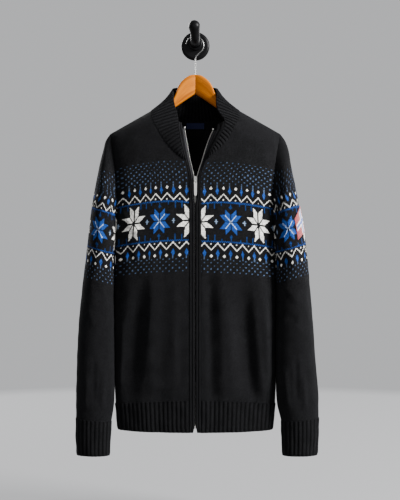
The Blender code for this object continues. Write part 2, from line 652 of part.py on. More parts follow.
def shell(name, outer, inner, finish, around=False):
    """A closed wall between an outer and an inner grid of points, a tube if around is set."""
    rows, columns = outer.shape[:2]
    index = np.arange(rows * columns).reshape(rows, columns)
    if around:
        index = np.concatenate([index, index[:, :1]], axis=1)
    inside = index + rows * columns
    points = np.concatenate([outer.reshape(-1, 3), inner.reshape(-1, 3)])
    sheets = np.concatenate(
        [
            quads(index[:-1, :-1], index[:-1, 1:], index[1:, :-1], index[1:, 1:]),
            quads(inside[:-1, 1:], inside[:-1, :-1], inside[1:, 1:], inside[1:, :-1]),
        ]
    )
    rims = [
        rim(index[0, :-1], index[0, 1:], inside[0, :-1], inside[0, 1:], points),
        rim(index[-1, :-1], index[-1, 1:], inside[-1, :-1], inside[-1, 1:], points)[:, ::-1],
    ]
    if not around:
        rims.append(rim(index[:-1, 0], index[1:, 0], inside[:-1, 0], inside[1:, 0], points)[:, ::-1])
        rims.append(rim(index[:-1, -1], index[1:, -1], inside[:-1, -1], inside[1:, -1], points))
    rims = np.concatenate(rims)
    halves = np.concatenate([sheets[:, :3], sheets[:, [0, 2, 3]], rims])
    faces = sheets.tolist() + rims.tolist()
    if np.sum(np.cross(points[halves[:, 0]], points[halves[:, 1]]) * points[halves[:, 2]]) < 0:
        faces = [face[::-1] for face in faces]
    return new_object(name, points, faces, finish)


def slab(name, low, high, finish, bevel=0.0):
    """A box between two corners."""
    thing = box_mesh(name, low, high)
    PARTS.objects.link(thing)
    thing.data.materials.append(FINISHES[finish])
    if bevel:
        round_off = thing.modifiers.new("rounded edges", "BEVEL")
        round_off.width = bevel
        round_off.segments = 2
    return thing


def box_mesh(name, low, high):
    low, high = np.array(low, float), np.array(high, float)
    mesh = bpy.data.meshes.new(name)
    form = bmesh.new()
    bmesh.ops.create_cube(form, size=1.0)
    bmesh.ops.scale(form, vec=high - low, verts=form.verts)
    bmesh.ops.translate(form, vec=(low + high) / 2, verts=form.verts)
    form.to_mesh(mesh)
    form.free()
    return bpy.data.objects.new(name, mesh)


def upright_rod_mesh(name, centre, radius, length):
    mesh = bpy.data.meshes.new(name)
    form = bmesh.new()
    size = dict(radius1=radius, radius2=radius, depth=length)
    bmesh.ops.create_cone(
        form, cap_ends=True, segments=16, matrix=Matrix.Translation(centre), **size
    )
    form.to_mesh(mesh)
    form.free()
    return bpy.data.objects.new(name, mesh)


def combine(thing, other, operation):
    """Cuts or joins a helper object into a part with an exact Boolean."""
    CUTTERS.objects.link(other)
    other.hide_render = True
    other.display_type = "WIRE"
    change = thing.modifiers.new(other.name, "BOOLEAN")
    change.operation = operation
    change.object = other


def tube(name, route, radius, finish, radii=None):
    """A round wire along a route of points, thinned by radii where they are given."""
    curve = bpy.data.curves.new(name, "CURVE")
    curve.dimensions = "3D"
    curve.bevel_depth = radius
    curve.bevel_resolution = 2
    curve.use_fill_caps = True
    spline = curve.splines.new("POLY")
    spline.points.add(len(route) - 1)
    for index, point in enumerate(route):
        spline.points[index].co = (*point, 1.0)
        spline.points[index].radius = 1.0 if radii is None else radii[index]
    thing = bpy.data.objects.new(name, curve)
    PARTS.objects.link(thing)
    curve.materials.append(FINISHES[finish])
    return thing


def turned(name, profile, finish):
    """A turned form about the Y axis: the profile lists (radius, y), from the wall outwards."""
    mesh = bpy.data.meshes.new(name)
    points = [(radius, 0.0, -y) for radius, y in profile]
    edges = [(i, i + 1) for i in range(len(points) - 1)]
    mesh.from_pydata(points[::-1], edges, [])
    thing = bpy.data.objects.new(name, mesh)
    thing.rotation_euler = (np.pi / 2, 0.0, 0.0)
    PARTS.objects.link(thing)
    mesh.materials.append(FINISHES[finish])
    screw = thing.modifiers.new("turning", "SCREW")
    screw.steps = TURN_STEPS
    screw.render_steps = TURN_STEPS
    screw.use_merge_vertices = True
    screw.merge_threshold = 1e-5
    return thing


# Cloth pieces.


def ways_in(across, down, front, side):
    """The ways into a panel's cloth; beside a band they point straight back, as the band's do."""
    ways = body_inward(across, down, front, side)
    if front:
        ways[:, 0] = (0.0, 1.0, 0.0)
    return ways


def half_panel(rows, front, side):
    """The points and inward ways of one half of the cloth above the hem rib."""
    columns = (FRONT_COLUMNS if front else BACK_COLUMNS) + SHOULDER_COLUMNS
    across, down = panel_places(columns, rows, front, side)
    return body(across, down, front, side), ways_in(across, down, front, side)


def half_hem(rows, front, side):
    """The points and inward ways of one half of the hem rib, its columns under the panel's."""
    columns = np.array((FRONT_COLUMNS if front else BACK_COLUMNS) + SHOULDER_COLUMNS)
    down = np.array(rows)[:, None] + 0 * columns
    start = band_across(down, 0.0, side) if front else 0.0
    across = start + (1 - start) * columns
    return body(across, down, front, side), ways_in(across, down, front, side)


def both_halves(make_half, rows):
    """A back in one piece: its two halves share the middle column."""
    right, left = (make_half(rows, False, side) for side in (-1, 1))
    return [np.concatenate([right[k][:, :0:-1], left[k]], axis=1) for k in (0, 1)]


def make_body_cloth():
    borders = dict(top=True, foot=True, end=True)
    for side, label in ((1, "left"), (-1, "right")):
        face, ways = half_panel(BODY_ROWS, True, side)
        shell("front_" + label, *wall(face, ways, KNIT, **borders), "knit")
        face, ways = half_hem(HEM_ROWS, True, side)
        shell("hem_front_" + label, *wall(face, ways, RIB, top=True, end=True), "rib")
    face, ways = both_halves(half_panel, BODY_ROWS)
    shell("back", *wall(face, ways, KNIT, start=True, **borders), "knit")
    face, ways = both_halves(half_hem, HEM_ROWS)
    shell("hem_back", *wall(face, ways, RIB, top=True, start=True, end=True), "rib")


def sleeve_turns():
    front = np.pi * np.array(ARM_ROWS)
    return np.concatenate([front, 2 * np.pi - front[-2:0:-1]])


def make_tube(name, rows, side, thick, finish, **borders):
    turn, along = np.meshgrid(sleeve_turns(), np.array(rows))
    ways = sleeve_inward(turn, along, side)
    if rows[0] == 0:
        ways[0] = armhole_inward(turn[0])
    face, inside = wall(sleeve(turn, along, side), ways, thick, **borders)
    shell(name, face, inside, finish, around=True)


def make_sleeves():
    for side, label in ((1, "left"), (-1, "right")):
        make_tube("sleeve_" + label, SLEEVE_ROWS, side, KNIT, "knit", foot=True)
        make_tube("cuff_" + label, CUFF_ROWS, side, RIB, "rib", top=True)


# The front edges: bands, zip tapes and rows of teeth.


def edge_out(z, side):
    """The outer edge of a band: on the body below the neck corner, the collar's edge above."""
    edge, collar = tables(side)
    z = np.asarray(z, float)
    x = through(edge, "out_x", z)
    across, down = locate(x, np.minimum(z, collar[0].seam_z), True, side)
    on_body = body(across, down, True, side)[..., 1]
    above = smooth((z - collar[0].seam_z) / 0.006)
    raised = through([row for row in edge if row.out_y < 0], "out_y", z)
    y = on_body + (raised - on_body) * above
    return np.stack([side * x, y, z], axis=-1)


def edge_in(z, side):
    """The inner edge of a band, and the unit ways across it (outwards) and into it."""
    edge = tables(side)[0]
    outer = edge_out(z, side)
    x = through(edge, "in_x", z)
    y = outer[..., 1] + through(edge, "in_back", z)
    inner = np.stack([side * x, y, z + through(edge, "in_rise", z)], axis=-1)
    across = unit(outer - inner)
    step = np.full_like(z, STEP)
    way_in = unit(np.cross(edge_out(z + step, side) - edge_out(z - step, side), across))
    return inner, across, way_in * np.sign(way_in[..., 1:2])


def tooth_line(z, side):
    """The row of teeth: beyond the inner edge of the band, and TAPE_BEHIND into it."""
    edge = tables(side)[0]
    inner, _, way_in = edge_in(z, side)
    x = side * through(edge, "tooth_x", z)
    height = z + through(edge, "tooth_rise", z)
    depth = TAPE_BEHIND + TOOTH_DEPTH / 2 - TAPE_WALL / 2
    slide = way_in[..., 0] * (x - inner[..., 0]) + way_in[..., 2] * (height - inner[..., 2])
    y = inner[..., 1] + (depth - slide) / way_in[..., 1]
    return np.stack([x, y, height], axis=-1)


def band_heights(side, low, high):
    """Heights of the sections of a band or a tape, those of the front and the collar among them."""
    edge, collar = tables(side)
    across, down = panel_places([0.0], BODY_ROWS, True, side)
    seam = body(across, down, True, side)[:, 0, 2]
    opening = [row.z for row in edge if row.z < SLIDER_TOP_Z + STEP]
    ribs = [row.top_z for row in collar if row.around <= CORNER]
    heights = np.unique(np.concatenate([seam, opening, ribs]))
    kept = heights[(heights > low + 1e-4) & (heights < high - 1e-4)]
    return np.concatenate([[low], kept, [high]])


def make_band(name, side):
    edge = tables(side)[0]
    z = band_heights(side, edge[0].z, edge[-1].z)
    outer = edge_out(z, side)
    inner, _, way_in = edge_in(z, side)
    middle = (outer + inner) / 2 - BAND_CROWN * way_in
    face = np.stack([outer, middle, inner], axis=1)
    straight = np.broadcast_to([0.0, 1.0, 0.0], way_in.shape)
    ways = np.stack([straight, unit(straight + way_in), way_in], axis=1)
    shell(name, face, face + BAND_WALL * ways, "rib")


def make_tape(name, side):
    """The zip's tape, from the row of teeth to its stitching behind the band."""
    z = band_heights(side, ZIP_END_Z, ZIP_TOP_Z)
    inner, across, way_in = edge_in(z, side)
    tooth = tooth_line(z, side)
    behind = inner + TAPE_BEHIND * way_in
    bend = behind + TAPE_BEND * across
    towards = unit(bend - tooth)
    tooth_reach = np.abs(towards) @ (TOOTH_WIDTH / 2, TOOTH_DEPTH / 2, 0.0)
    start = tooth + (tooth_reach[:, None] + TAPE_WALL / 2 + SEAM) * towards
    face = np.stack([start, bend, behind + TAPE_REACH * across], axis=1)
    half = TAPE_WALL / 2 * way_in[:, None]
    shell(name, face - half, face + half, "tape")


def make_teeth(name, side):
    z = band_heights(side, ZIP_END_Z, ZIP_TOP_Z)
    line = tooth_line(z, side)
    half_width = np.array([side * TOOTH_WIDTH / 2, 0.0, 0.0])
    half_depth = np.array([0.0, TOOTH_DEPTH / 2, 0.0])
    face = np.stack([line - half_width, line + half_width], axis=1)
    shell(name, face - half_depth, face + half_depth, "zip")


def make_stop(name, side):
    """The top stop, a small block over the last tooth."""
    line = tooth_line(np.array([ZIP_TOP_Z]), side)[0]
    reach = STOP_SHARE * np.array([TOOTH_WIDTH, TOOTH_DEPTH, 0.0])
    low = line - reach + (0.0, 0.0, SEAM)
    slab(name, low, line + reach + (0.0, 0.0, STOP_TALL), "zip", METAL_ROUND)


def zip_depth(z):
    """The depth of the row of teeth at a height where the zip is closed."""
    return float(tooth_line(np.array([z]), 1)[0, 1])


def make_zip_box():
    """The box at the foot of the zip that the two rows start from."""
    depth = zip_depth(ZIP_END_Z)
    slab(
        "zip_box",
        (-BOX_HALF_WIDTH, depth - TOOTH_DEPTH / 2, ZIP_END_Z - BOX_TALL),
        (BOX_HALF_WIDTH, depth + TOOTH_DEPTH / 2, ZIP_END_Z - SEAM),
        "zip",
        METAL_ROUND,
    )


def make_slider():
    """Two plates round the teeth, the wedge between them, and the round bail of the pull."""
    depth = (zip_depth(SLIDER_END_Z) + zip_depth(SLIDER_TOP_Z)) / 2
    front = depth - SLIDER_SLOT / 2
    back = depth + SLIDER_SLOT / 2
    low_x, high_x = SLIDER_X - SLIDER_HALF_WIDTH, SLIDER_X + SLIDER_HALF_WIDTH
    slider = slab(
        "zip_slider",
        (low_x, front - SLIDER_PLATE, SLIDER_END_Z),
        (high_x, front, SLIDER_TOP_Z),
        "zip",
    )
    back_plate = box_mesh(
        "slider back plate", (low_x, back, SLIDER_END_Z), (high_x, back + SLIDER_PLATE, SLIDER_TOP_Z)
    )
    wedge = box_mesh(
        "slider wedge",
        (SLIDER_X, front - SLIDER_PLATE / 2, SLIDER_TOP_Z - WEDGE_TALL),
        (SLIDER_X + WEDGE_WIDTH, back + SLIDER_PLATE / 2, SLIDER_TOP_Z - SEAM),
    )
    combine(slider, back_plate, "UNION")
    combine(slider, wedge, "UNION")
    face = front - SLIDER_PLATE
    pivot_z = (SLIDER_TOP_Z + SLIDER_END_Z) / 2 - BAIL_DROP
    pivot_y = face - PULL_RIM / 2 - PULL_GAP
    angles = np.radians(np.linspace(-100, 100, 11))
    arc_y = pivot_y - BAIL_RADIUS * np.cos(angles)
    arc_z = pivot_z + BAIL_RADIUS * np.sin(angles)
    ends = [(face + BAIL_ROOT, arc_z[0]), *zip(arc_y, arc_z), (face + BAIL_ROOT, arc_z[-1])]
    bail = tube("bail route", [(SLIDER_X, y, z) for y, z in ends], BAIL_WIRE, "zip")
    bail_mesh = bpy.data.meshes.new_from_object(
        bail.evaluated_get(bpy.context.evaluated_depsgraph_get())
    )
    form = bmesh.new()
    form.from_mesh(bail_mesh)
    bmesh.ops.remove_doubles(form, verts=form.verts, dist=1e-6)
    form.to_mesh(bail_mesh)
    form.free()
    bail_solid = bpy.data.objects.new("slider bail", bail_mesh)
    bail_solid.matrix_world = bail.matrix_world
    bpy.data.objects.remove(bail, do_unlink=True)
    combine(slider, bail_solid, "UNION")
    return pivot_y, pivot_z


def make_pull(pivot_y, pivot_z):
    """The flat tab: a rim through the bail, an eye below it and a long bar."""
    empty = bpy.data.objects.new("pull hinge", None)
    empty.location = (SLIDER_X, pivot_y, pivot_z)
    PARTS.objects.link(empty)
    half, thick = PULL_WIDTH / 2, PULL_THICK / 2
    pull = slab(
        "zip_pull", (-half, -thick, PULL_RIM / 2 - PULL_LENGTH), (half, thick, PULL_RIM / 2), "zip"
    )
    eye_top = -PULL_RIM / 2
    eye = box_mesh(
        "pull eye",
        (-PULL_EYE_WIDTH / 2, -PULL_THICK, eye_top - PULL_EYE_TALL),
        (PULL_EYE_WIDTH / 2, PULL_THICK, eye_top),
    )
    combine(pull, eye, "DIFFERENCE")
    eye.parent = empty
    pull.parent = empty


# Trim on the cloth.


def make_label():
    """A bare label on the inner side of the back, just below the neck seam."""
    x, z = np.meshgrid(
        np.linspace(-LABEL_HALF_WIDTH, LABEL_HALF_WIDTH, 7), np.linspace(LABEL_TOP_Z, LABEL_END_Z, 3)
    )
    across, down = locate(np.abs(x), z, False, 1)
    on_right = x < 0
    outer = np.where(
        on_right[..., None], body(across, down, False, -1), body(across, down, False, 1)
    )
    turn_in = np.array([0.0, -1.0, 0.0])
    near = outer + (KNIT + LABEL_GAP) * turn_in
    shell("neck_label", near, near + TAPE_WALL * turn_in, "label")


def make_patch():
    """A small flag sewn on the outer front of the wearer's left sleeve."""
    turn, along = np.meshgrid(
        np.radians(np.linspace(*PATCH_TURN, 10)), np.linspace(*PATCH_ALONG, 5)
    )
    face = sleeve(turn, along, 1)
    away = -sleeve_inward(turn, along, 1)
    near = face + PATCH_GAP * away
    shell("flag_patch", near + PATCH_WALL * away, near, "patch")


# The collar.


def collar_line(around, side):
    """The foot of the collar on the neck seam, its top edge, and the body's inward way there."""
    edge, collar = tables(side)
    across, down, in_front = neck_seam(around, side)
    foot = np.where(
        in_front[..., None], body(across, down, True, side), body(across, down, False, side)
    )
    way = np.where(
        in_front[..., None],
        body_inward(across, np.maximum(down, 2 * STEP), True, side),
        body_inward(across, np.maximum(down, 2 * STEP), False, side),
    )
    top = np.stack([through(collar, name, around) for name in ("top_x", "top_y", "top_z")], axis=-1)
    top[..., 0] *= side
    on_band = edge_out(np.minimum(top[..., 2], edge[-1].z), side)
    on_band[..., 0] += side * SEAM
    top = np.where((around <= CORNER + 1e-6)[..., None], on_band, top)
    return foot, top, way


def make_collar():
    around = np.array(FRONT_NECK + BACK_NECK[1:])
    heights = np.array(COLLAR_HEIGHTS)[:, None, None]
    halves = []
    for side in (1, -1):
        foot, top, way = collar_line(around, side)
        outer = foot + (top - foot) * heights
        swell = COLLAR_SWELL * np.array([side, -1.0, 0.0]) * np.sin(np.pi * heights)
        outer = outer + swell * smooth((SWELL_FADE - around) / NECK_POINT)[None, :, None]
        run = np.gradient(outer, axis=1)
        rise = np.broadcast_to(top - foot, outer.shape)
        turn_in = unit(np.cross(run, rise)) * side
        if np.sum(turn_in[..., 1][:, :6]) < 0:
            turn_in = -turn_in
        mix = smooth(heights * FOOT_BLEND)
        turn_in = unit(way * (1 - mix) + turn_in * mix)
        turn_in[:, 0] = (0.0, 1.0, 0.0)
        turn_in[-1, around <= CORNER + 1e-6] = (0.0, 1.0, 0.0)
        turn_in[:, -1, 0] = 0.0
        halves.append((outer, unit(turn_in)))
    face, ways = (
        np.concatenate([halves[0][k], halves[1][k][:, -2::-1]], axis=1) for k in (0, 1)
    )
    thick = KNIT + (COLLAR_WALL - KNIT) * smooth(heights * FOOT_BLEND)
    shell("collar", *wall(face, ways, thick, top=True), "rib")


# What holds the cardigan.


def make_hanger():
    """Two arms that curve forwards from the middle, lofted from rounded oblong sections."""
    x = np.array([row.x for row in ARM])
    top, end = (np.array([getattr(row, name) for row in ARM]) for name in ("top_z", "end_z"))
    thick = np.array([row.half_thick for row in ARM])
    depth = ridge(x)[0]
    edge = np.minimum(ARM_EDGE, thick * 0.6)
    wide, narrow = thick, thick - edge
    upper = [(-wide, top - edge), (-narrow, top), (narrow, top), (wide, top - edge)]
    lower = [(wide, end + edge), (narrow, end), (-narrow, end), (-wide, end + edge)]
    half = np.stack([np.stack([x, depth + y, z], axis=-1) for y, z in upper + lower], axis=1)
    mirrored = half[:0:-1] * (-1, 1, 1)
    sections = np.concatenate([mirrored, half])
    count, points_each = sections.shape[:2]
    index = np.arange(count * points_each).reshape(count, points_each)
    wrapped = np.concatenate([index, index[:, :1]], axis=1)
    faces = quads(wrapped[:-1, :-1], wrapped[:-1, 1:], wrapped[1:, :-1], wrapped[1:, 1:]).tolist()
    faces = [face[::-1] for face in faces] + [index[0].tolist(), index[-1].tolist()[::-1]]
    hanger = new_object("hanger", sections, faces, "wood")
    form = bmesh.new()
    form.from_mesh(hanger.data)
    bmesh.ops.recalc_face_normals(form, faces=form.faces)
    form.to_mesh(hanger.data)
    form.free()
    hole_top = ARM[0].top_z + HOOK_SINK
    hole_end = ARM[0].top_z - HOOK_SINK - SEAM
    centre = (0.0, WIRE_Y, (hole_top + hole_end) / 2)
    hole = upright_rod_mesh("hook hole", centre, WIRE + SEAM, hole_top - hole_end)
    combine(hanger, hole, "DIFFERENCE")


def make_hanger_hook():
    """The wire: up from the wood, round over the peg and down to a free end."""
    foot_z = ARM[0].top_z - HOOK_SINK
    neck_z = HOOK_Z - HOOK_RADIUS - HOOK_NECK
    arc = [
        (HOOK_X + HOOK_RADIUS * np.cos(a), WIRE_Y, HOOK_Z + HOOK_RADIUS * np.sin(a))
        for a in np.radians(np.linspace(HOOK_START, HOOK_END, 20))
    ]
    start = np.array([0.0, WIRE_Y, neck_z])
    first = np.array(arc[0])
    start_angle = np.radians(HOOK_START)
    way_out = np.array([-np.sin(start_angle), 0.0, np.cos(start_angle)])
    bend = [
        (1 - f) ** 3 * start
        + 3 * f * (1 - f) ** 2 * (start + (0.0, 0.0, HOOK_NECK_PULL))
        + 3 * f**2 * (1 - f) * (first - HOOK_ARC_PULL * way_out)
        + f**3 * first
        for f in np.linspace(0.0, 1.0, 7)[:-1]
    ]
    shank = [(0.0, WIRE_Y, z) for z in np.linspace(foot_z, neck_z, 4)[:-1]]
    tube("hanger_hook", shank + [tuple(point) for point in bend] + arc, WIRE, "wire")


def make_wall_hook():
    """A domed plate, a ring round the peg's root, and the peg that turns up in front."""
    slope = np.radians(np.linspace(0, 90, 6))
    dome = [
        (
            PLATE_RADIUS - PLATE_ROUND * (1 - np.cos(a)),
            -PLATE_EDGE - (PLATE_THICK - PLATE_EDGE) * np.sin(a),
        )
        for a in slope
    ]
    turned("wall_plate", [(0.0, 0.0), (PLATE_RADIUS, 0.0), *dome, (0.0, -PLATE_THICK)], "hook")
    root_y = -PLATE_THICK - SEAM
    inner = PEG_RADIUS + SEAM
    ring = [(inner, root_y), (BOSS_RADIUS, root_y)]
    ring += [
        (BOSS_RADIUS - BOSS_ROUND * (1 - np.cos(a)), BOSS_END_Y + BOSS_ROUND * (1 - np.sin(a)))
        for a in slope
    ]
    boss = turned("peg_boss", [*ring, (inner, BOSS_END_Y), (inner, root_y)], "hook")
    boss.location = (0.0, 0.0, PEG_Z)
    make_wall_peg(root_y)


def make_wall_peg(root_y):
    """The peg: straight out of the plate, round and up, then swelling to a round knob."""
    angles = np.radians(np.linspace(0, PEG_BEND_ANGLE, 8))
    route = [(0.0, y, PEG_Z) for y in (root_y, *PEG_STRAIGHT_Y)]
    route += [
        (
            -PEG_LEAN * (1 - np.cos(a)),
            PEG_BEND_Y - PEG_BEND_RADIUS * np.sin(a),
            PEG_Z + PEG_BEND_RADIUS * (1 - np.cos(a)),
        )
        for a in angles
    ]
    radii = [1.0] * (len(route) - 2) + [PEG_WAIST, PEG_WAIST]
    way = unit(np.array([PEG_WAY_X, -np.cos(angles[-1]), np.sin(angles[-1])]))
    last = np.array(route[-1])
    route += [tuple(last + way * reach) for reach in PEG_REACH]
    knob = KNOB_RADIUS / PEG_RADIUS
    radii += [PEG_SHOULDER, knob]
    for a in np.radians(np.linspace(15, 88, 6)):
        route.append(tuple(last + way * (PEG_REACH[-1] + KNOB_RADIUS * np.sin(a))))
        radii.append(knob * float(np.cos(a)))
    tube("wall_peg", route, PEG_RADIUS, "hook", radii)


def main():
    make_body_cloth()
    make_sleeves()
    make_collar()
    for side, label in ((1, "left"), (-1, "right")):
        make_band("band_" + label, side)
        make_tape("tape_" + label, side)
        make_teeth("teeth_" + label, side)
        make_stop("stop_" + label, side)
    make_zip_box()
    make_pull(*make_slider())
    make_label()
    make_patch()
    make_hanger()
    make_hanger_hook()
    make_wall_hook()


main()
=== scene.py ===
# %% [markdown]
# A zip-front nordic cardigan hangs on a wooden hanger, and the hanger's wire hangs over a round
# wall hook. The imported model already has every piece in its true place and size, so this lesson
# gives each of them its look. Cloth is made again from the same formulas at the size of its
# stitches; metal and wood get rounder, finer forms.
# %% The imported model, its frame and its box
from collections import namedtuple

import bpy
import numpy as np
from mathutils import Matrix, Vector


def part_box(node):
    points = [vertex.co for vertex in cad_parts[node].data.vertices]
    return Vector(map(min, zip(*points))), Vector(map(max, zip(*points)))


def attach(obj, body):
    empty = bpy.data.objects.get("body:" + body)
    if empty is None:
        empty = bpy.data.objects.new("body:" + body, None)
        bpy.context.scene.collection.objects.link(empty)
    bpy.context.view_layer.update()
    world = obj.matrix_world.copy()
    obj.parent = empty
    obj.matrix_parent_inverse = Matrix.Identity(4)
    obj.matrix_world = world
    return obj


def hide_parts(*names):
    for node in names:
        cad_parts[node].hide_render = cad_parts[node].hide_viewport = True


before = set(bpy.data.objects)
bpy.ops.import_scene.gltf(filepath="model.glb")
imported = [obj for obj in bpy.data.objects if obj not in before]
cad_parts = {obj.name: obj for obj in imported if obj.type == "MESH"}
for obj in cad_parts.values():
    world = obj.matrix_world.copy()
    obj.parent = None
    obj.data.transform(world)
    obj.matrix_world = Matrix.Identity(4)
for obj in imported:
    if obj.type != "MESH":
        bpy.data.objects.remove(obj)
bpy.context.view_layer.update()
BODY_NAME = "garment"
SIDES = ((1, "left"), (-1, "right"))


def table(columns, *rows):
    """Rows of numbers whose columns have names."""
    row = namedtuple("Row", columns)
    return [row(*values) for values in rows]


# %% [markdown]
# The camera stands where the photographer stood: square to the wall, 2.4 m away, level with the
# middle of the cardigan. The frame is 0.912 m wide at the wall. A tall picture would measure the
# lens along its height, so the sensor is fixed to the width.
# %% The camera
VIEW_FROM = 2.4
VIEW_WIDE = 0.912
VIEW_X = 0.0105
VIEW_Z = -0.464
SENSOR = 36.0
camera_lens = bpy.data.cameras.new("camera")
camera_lens.sensor_fit = "HORIZONTAL"
camera_lens.sensor_width = SENSOR
camera_lens.lens = SENSOR * VIEW_FROM / VIEW_WIDE
camera = bpy.data.objects.new("camera", camera_lens)
camera.location = (VIEW_X, -VIEW_FROM, VIEW_Z)
camera.rotation_euler = (np.pi / 2, 0.0, 0.0)
bpy.context.scene.collection.objects.link(camera)
bpy.context.scene.camera = camera
print("lens", round(camera_lens.lens, 1), "mm")

# %% [markdown]
# Dark wool swallows light, so a large soft lamp rakes it from the right and above. A weaker one
# fills the left, and two more keep the back and the underside readable when the piece is looked
# at from behind. The pale sky colour surrounds everything.
# %% Lamps and sky
PALE = (0.88, 0.89, 0.91, 1.0)
SKY = 0.62
LAMPS = table(
    "name place power size",
    ("key", (2.5, -1.15, 0.9), 460.0, 0.8),
    ("fill", (-0.6, -2.6, 0.2), 12.0, 1.6),
    ("back key", (-1.6, 2.0, 0.9), 150.0, 1.6),
    ("back fill", (1.8, 2.0, 0.0), 45.0, 1.8),
)
AIM = np.array([0.0, -0.06, -0.45])


def aim_lamp(row):
    """Places a square lamp and turns its face to the middle of the cardigan."""
    light = bpy.data.lights.new(row.name, "AREA")
    light.energy = row.power
    light.size = row.size
    lamp = bpy.data.objects.new(row.name, light)
    lamp.location = row.place
    away = np.array(row.place) - AIM
    turn = np.arctan2(away[0], -away[1])
    lean = np.arctan2(np.hypot(away[0], away[1]), away[2])
    lamp.rotation_euler = (lean, 0.0, turn)
    bpy.context.scene.collection.objects.link(lamp)


for lamp_row in LAMPS:
    aim_lamp(lamp_row)
sky = bpy.data.worlds.new("pale sky")
sky.use_nodes = True
air = sky.node_tree.nodes["Background"].inputs
air["Color"].default_value, air["Strength"].default_value = PALE, SKY
bpy.context.scene.world = sky
print(len(LAMPS), "lamps")

# %% [markdown]
# A mesh from arrays: all points at once, then all faces, each with its place on the flat cloth
# (its UV, in metres). A face may have any number of corners, which lets a fine sheet meet a
# coarse one without a gap. Writing whole arrays with foreach_set is hundreds of times faster
# than adding points one by one.
# %% Putting a mesh together
PIECES = {}


def put_mesh(
    name, points, sheets, finish, replaces=(), sharp=50.0, colours=None, body_name=BODY_NAME
):
    """A mesh from points (n, 3) and sheets [(faces (m, k), uv (m, k, 2)), ...].

    If its signed volume, the sum of (a x b) . c over the faces' fans, is below zero, every face
    is turned round, so the faces point outwards.
    """
    volume = 0.0
    for faces, _ in sheets:
        for corner in range(1, faces.shape[1] - 1):
            a, b, c = points[faces[:, 0]], points[faces[:, corner]], points[faces[:, corner + 1]]
            volume += np.sum(np.cross(a, b) * c)
    if volume < 0:
        sheets = [(faces[:, ::-1], uv[:, ::-1]) for faces, uv in sheets]
    corners = np.concatenate([faces.ravel() for faces, _ in sheets]).astype(np.int32)
    flat = np.concatenate([uv.reshape(-1, 2) for _, uv in sheets]).astype(np.float32)
    sizes = np.concatenate([np.full(len(faces), faces.shape[1]) for faces, _ in sheets])
    starts = np.concatenate([[0], np.cumsum(sizes)[:-1]]).astype(np.int32)
    mesh = bpy.data.meshes.new(name)
    mesh.vertices.add(len(points))
    mesh.vertices.foreach_set("co", np.ascontiguousarray(points, np.float32).ravel())
    mesh.loops.add(len(corners))
    mesh.loops.foreach_set("vertex_index", corners)
    mesh.polygons.add(len(sizes))
    mesh.polygons.foreach_set("loop_start", starts)
    mesh.update(calc_edges=True)
    mesh.uv_layers.new(name="flat").data.foreach_set("uv", flat.ravel())
    if colours is not None:
        paint = mesh.color_attributes.new("yarn", "FLOAT_COLOR", "POINT")
        full = np.ones((len(points), 4), np.float32)
        full[:, :3] = colours
        paint.data.foreach_set("color", full.ravel())
    mesh.shade_smooth()
    mesh.set_sharp_from_angle(angle=np.radians(sharp))
    mesh.materials.append(finish)
    piece = bpy.data.objects.new(name, mesh)
    bpy.context.scene.collection.objects.link(piece)
    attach(piece, body_name)
    if replaces:
        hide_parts(*replaces)
    PIECES[name] = piece
    print(name, len(points), "points", len(sizes), "faces")
    return piece


def squares(grid):
    """The four corners of every square of a grid (rows, columns, ...), square after square."""
    corners = np.stack([grid[:-1, :-1], grid[:-1, 1:], grid[1:, 1:], grid[1:, :-1]], axis=2)
    return corners.reshape(-1, 4, *grid.shape[2:])


def closed(grid):
    """A grid with its first column once more at the end."""
    return np.concatenate([grid, grid[:, :1]], axis=1)


def full_turn(count):
    """Even angles once round."""
    return np.linspace(0, 2 * np.pi, count + 1)[:-1]


def spread(*parts):
    """Points from their coordinates, each spread over the others' rows and columns."""
    return np.stack(np.broadcast_arrays(*parts), axis=-1)


def run_along(points):
    """Length along a line of points from its first one: its steps added up."""
    return np.append(0.0, np.cumsum(np.linalg.norm(np.diff(points, axis=0), axis=1)))


# %% [markdown]
# A wall of cloth has a fine outside and a plainer inside. The inside keeps only every fourth row
# and column, and the rim faces have one inner edge for each four outer ones. That keeps the wall
# closed and saves nearly half of its faces.
# %% A wall of cloth
THIN = 4
TURNED = [1, 0, 3, 2]


def runs_of(border):
    """Runs of five neighbours along a border, each starting where the last one ends."""
    starts = np.arange(0, len(border) - 1, THIN)
    return np.stack([border[starts + k] for k in range(THIN + 1)], axis=1)


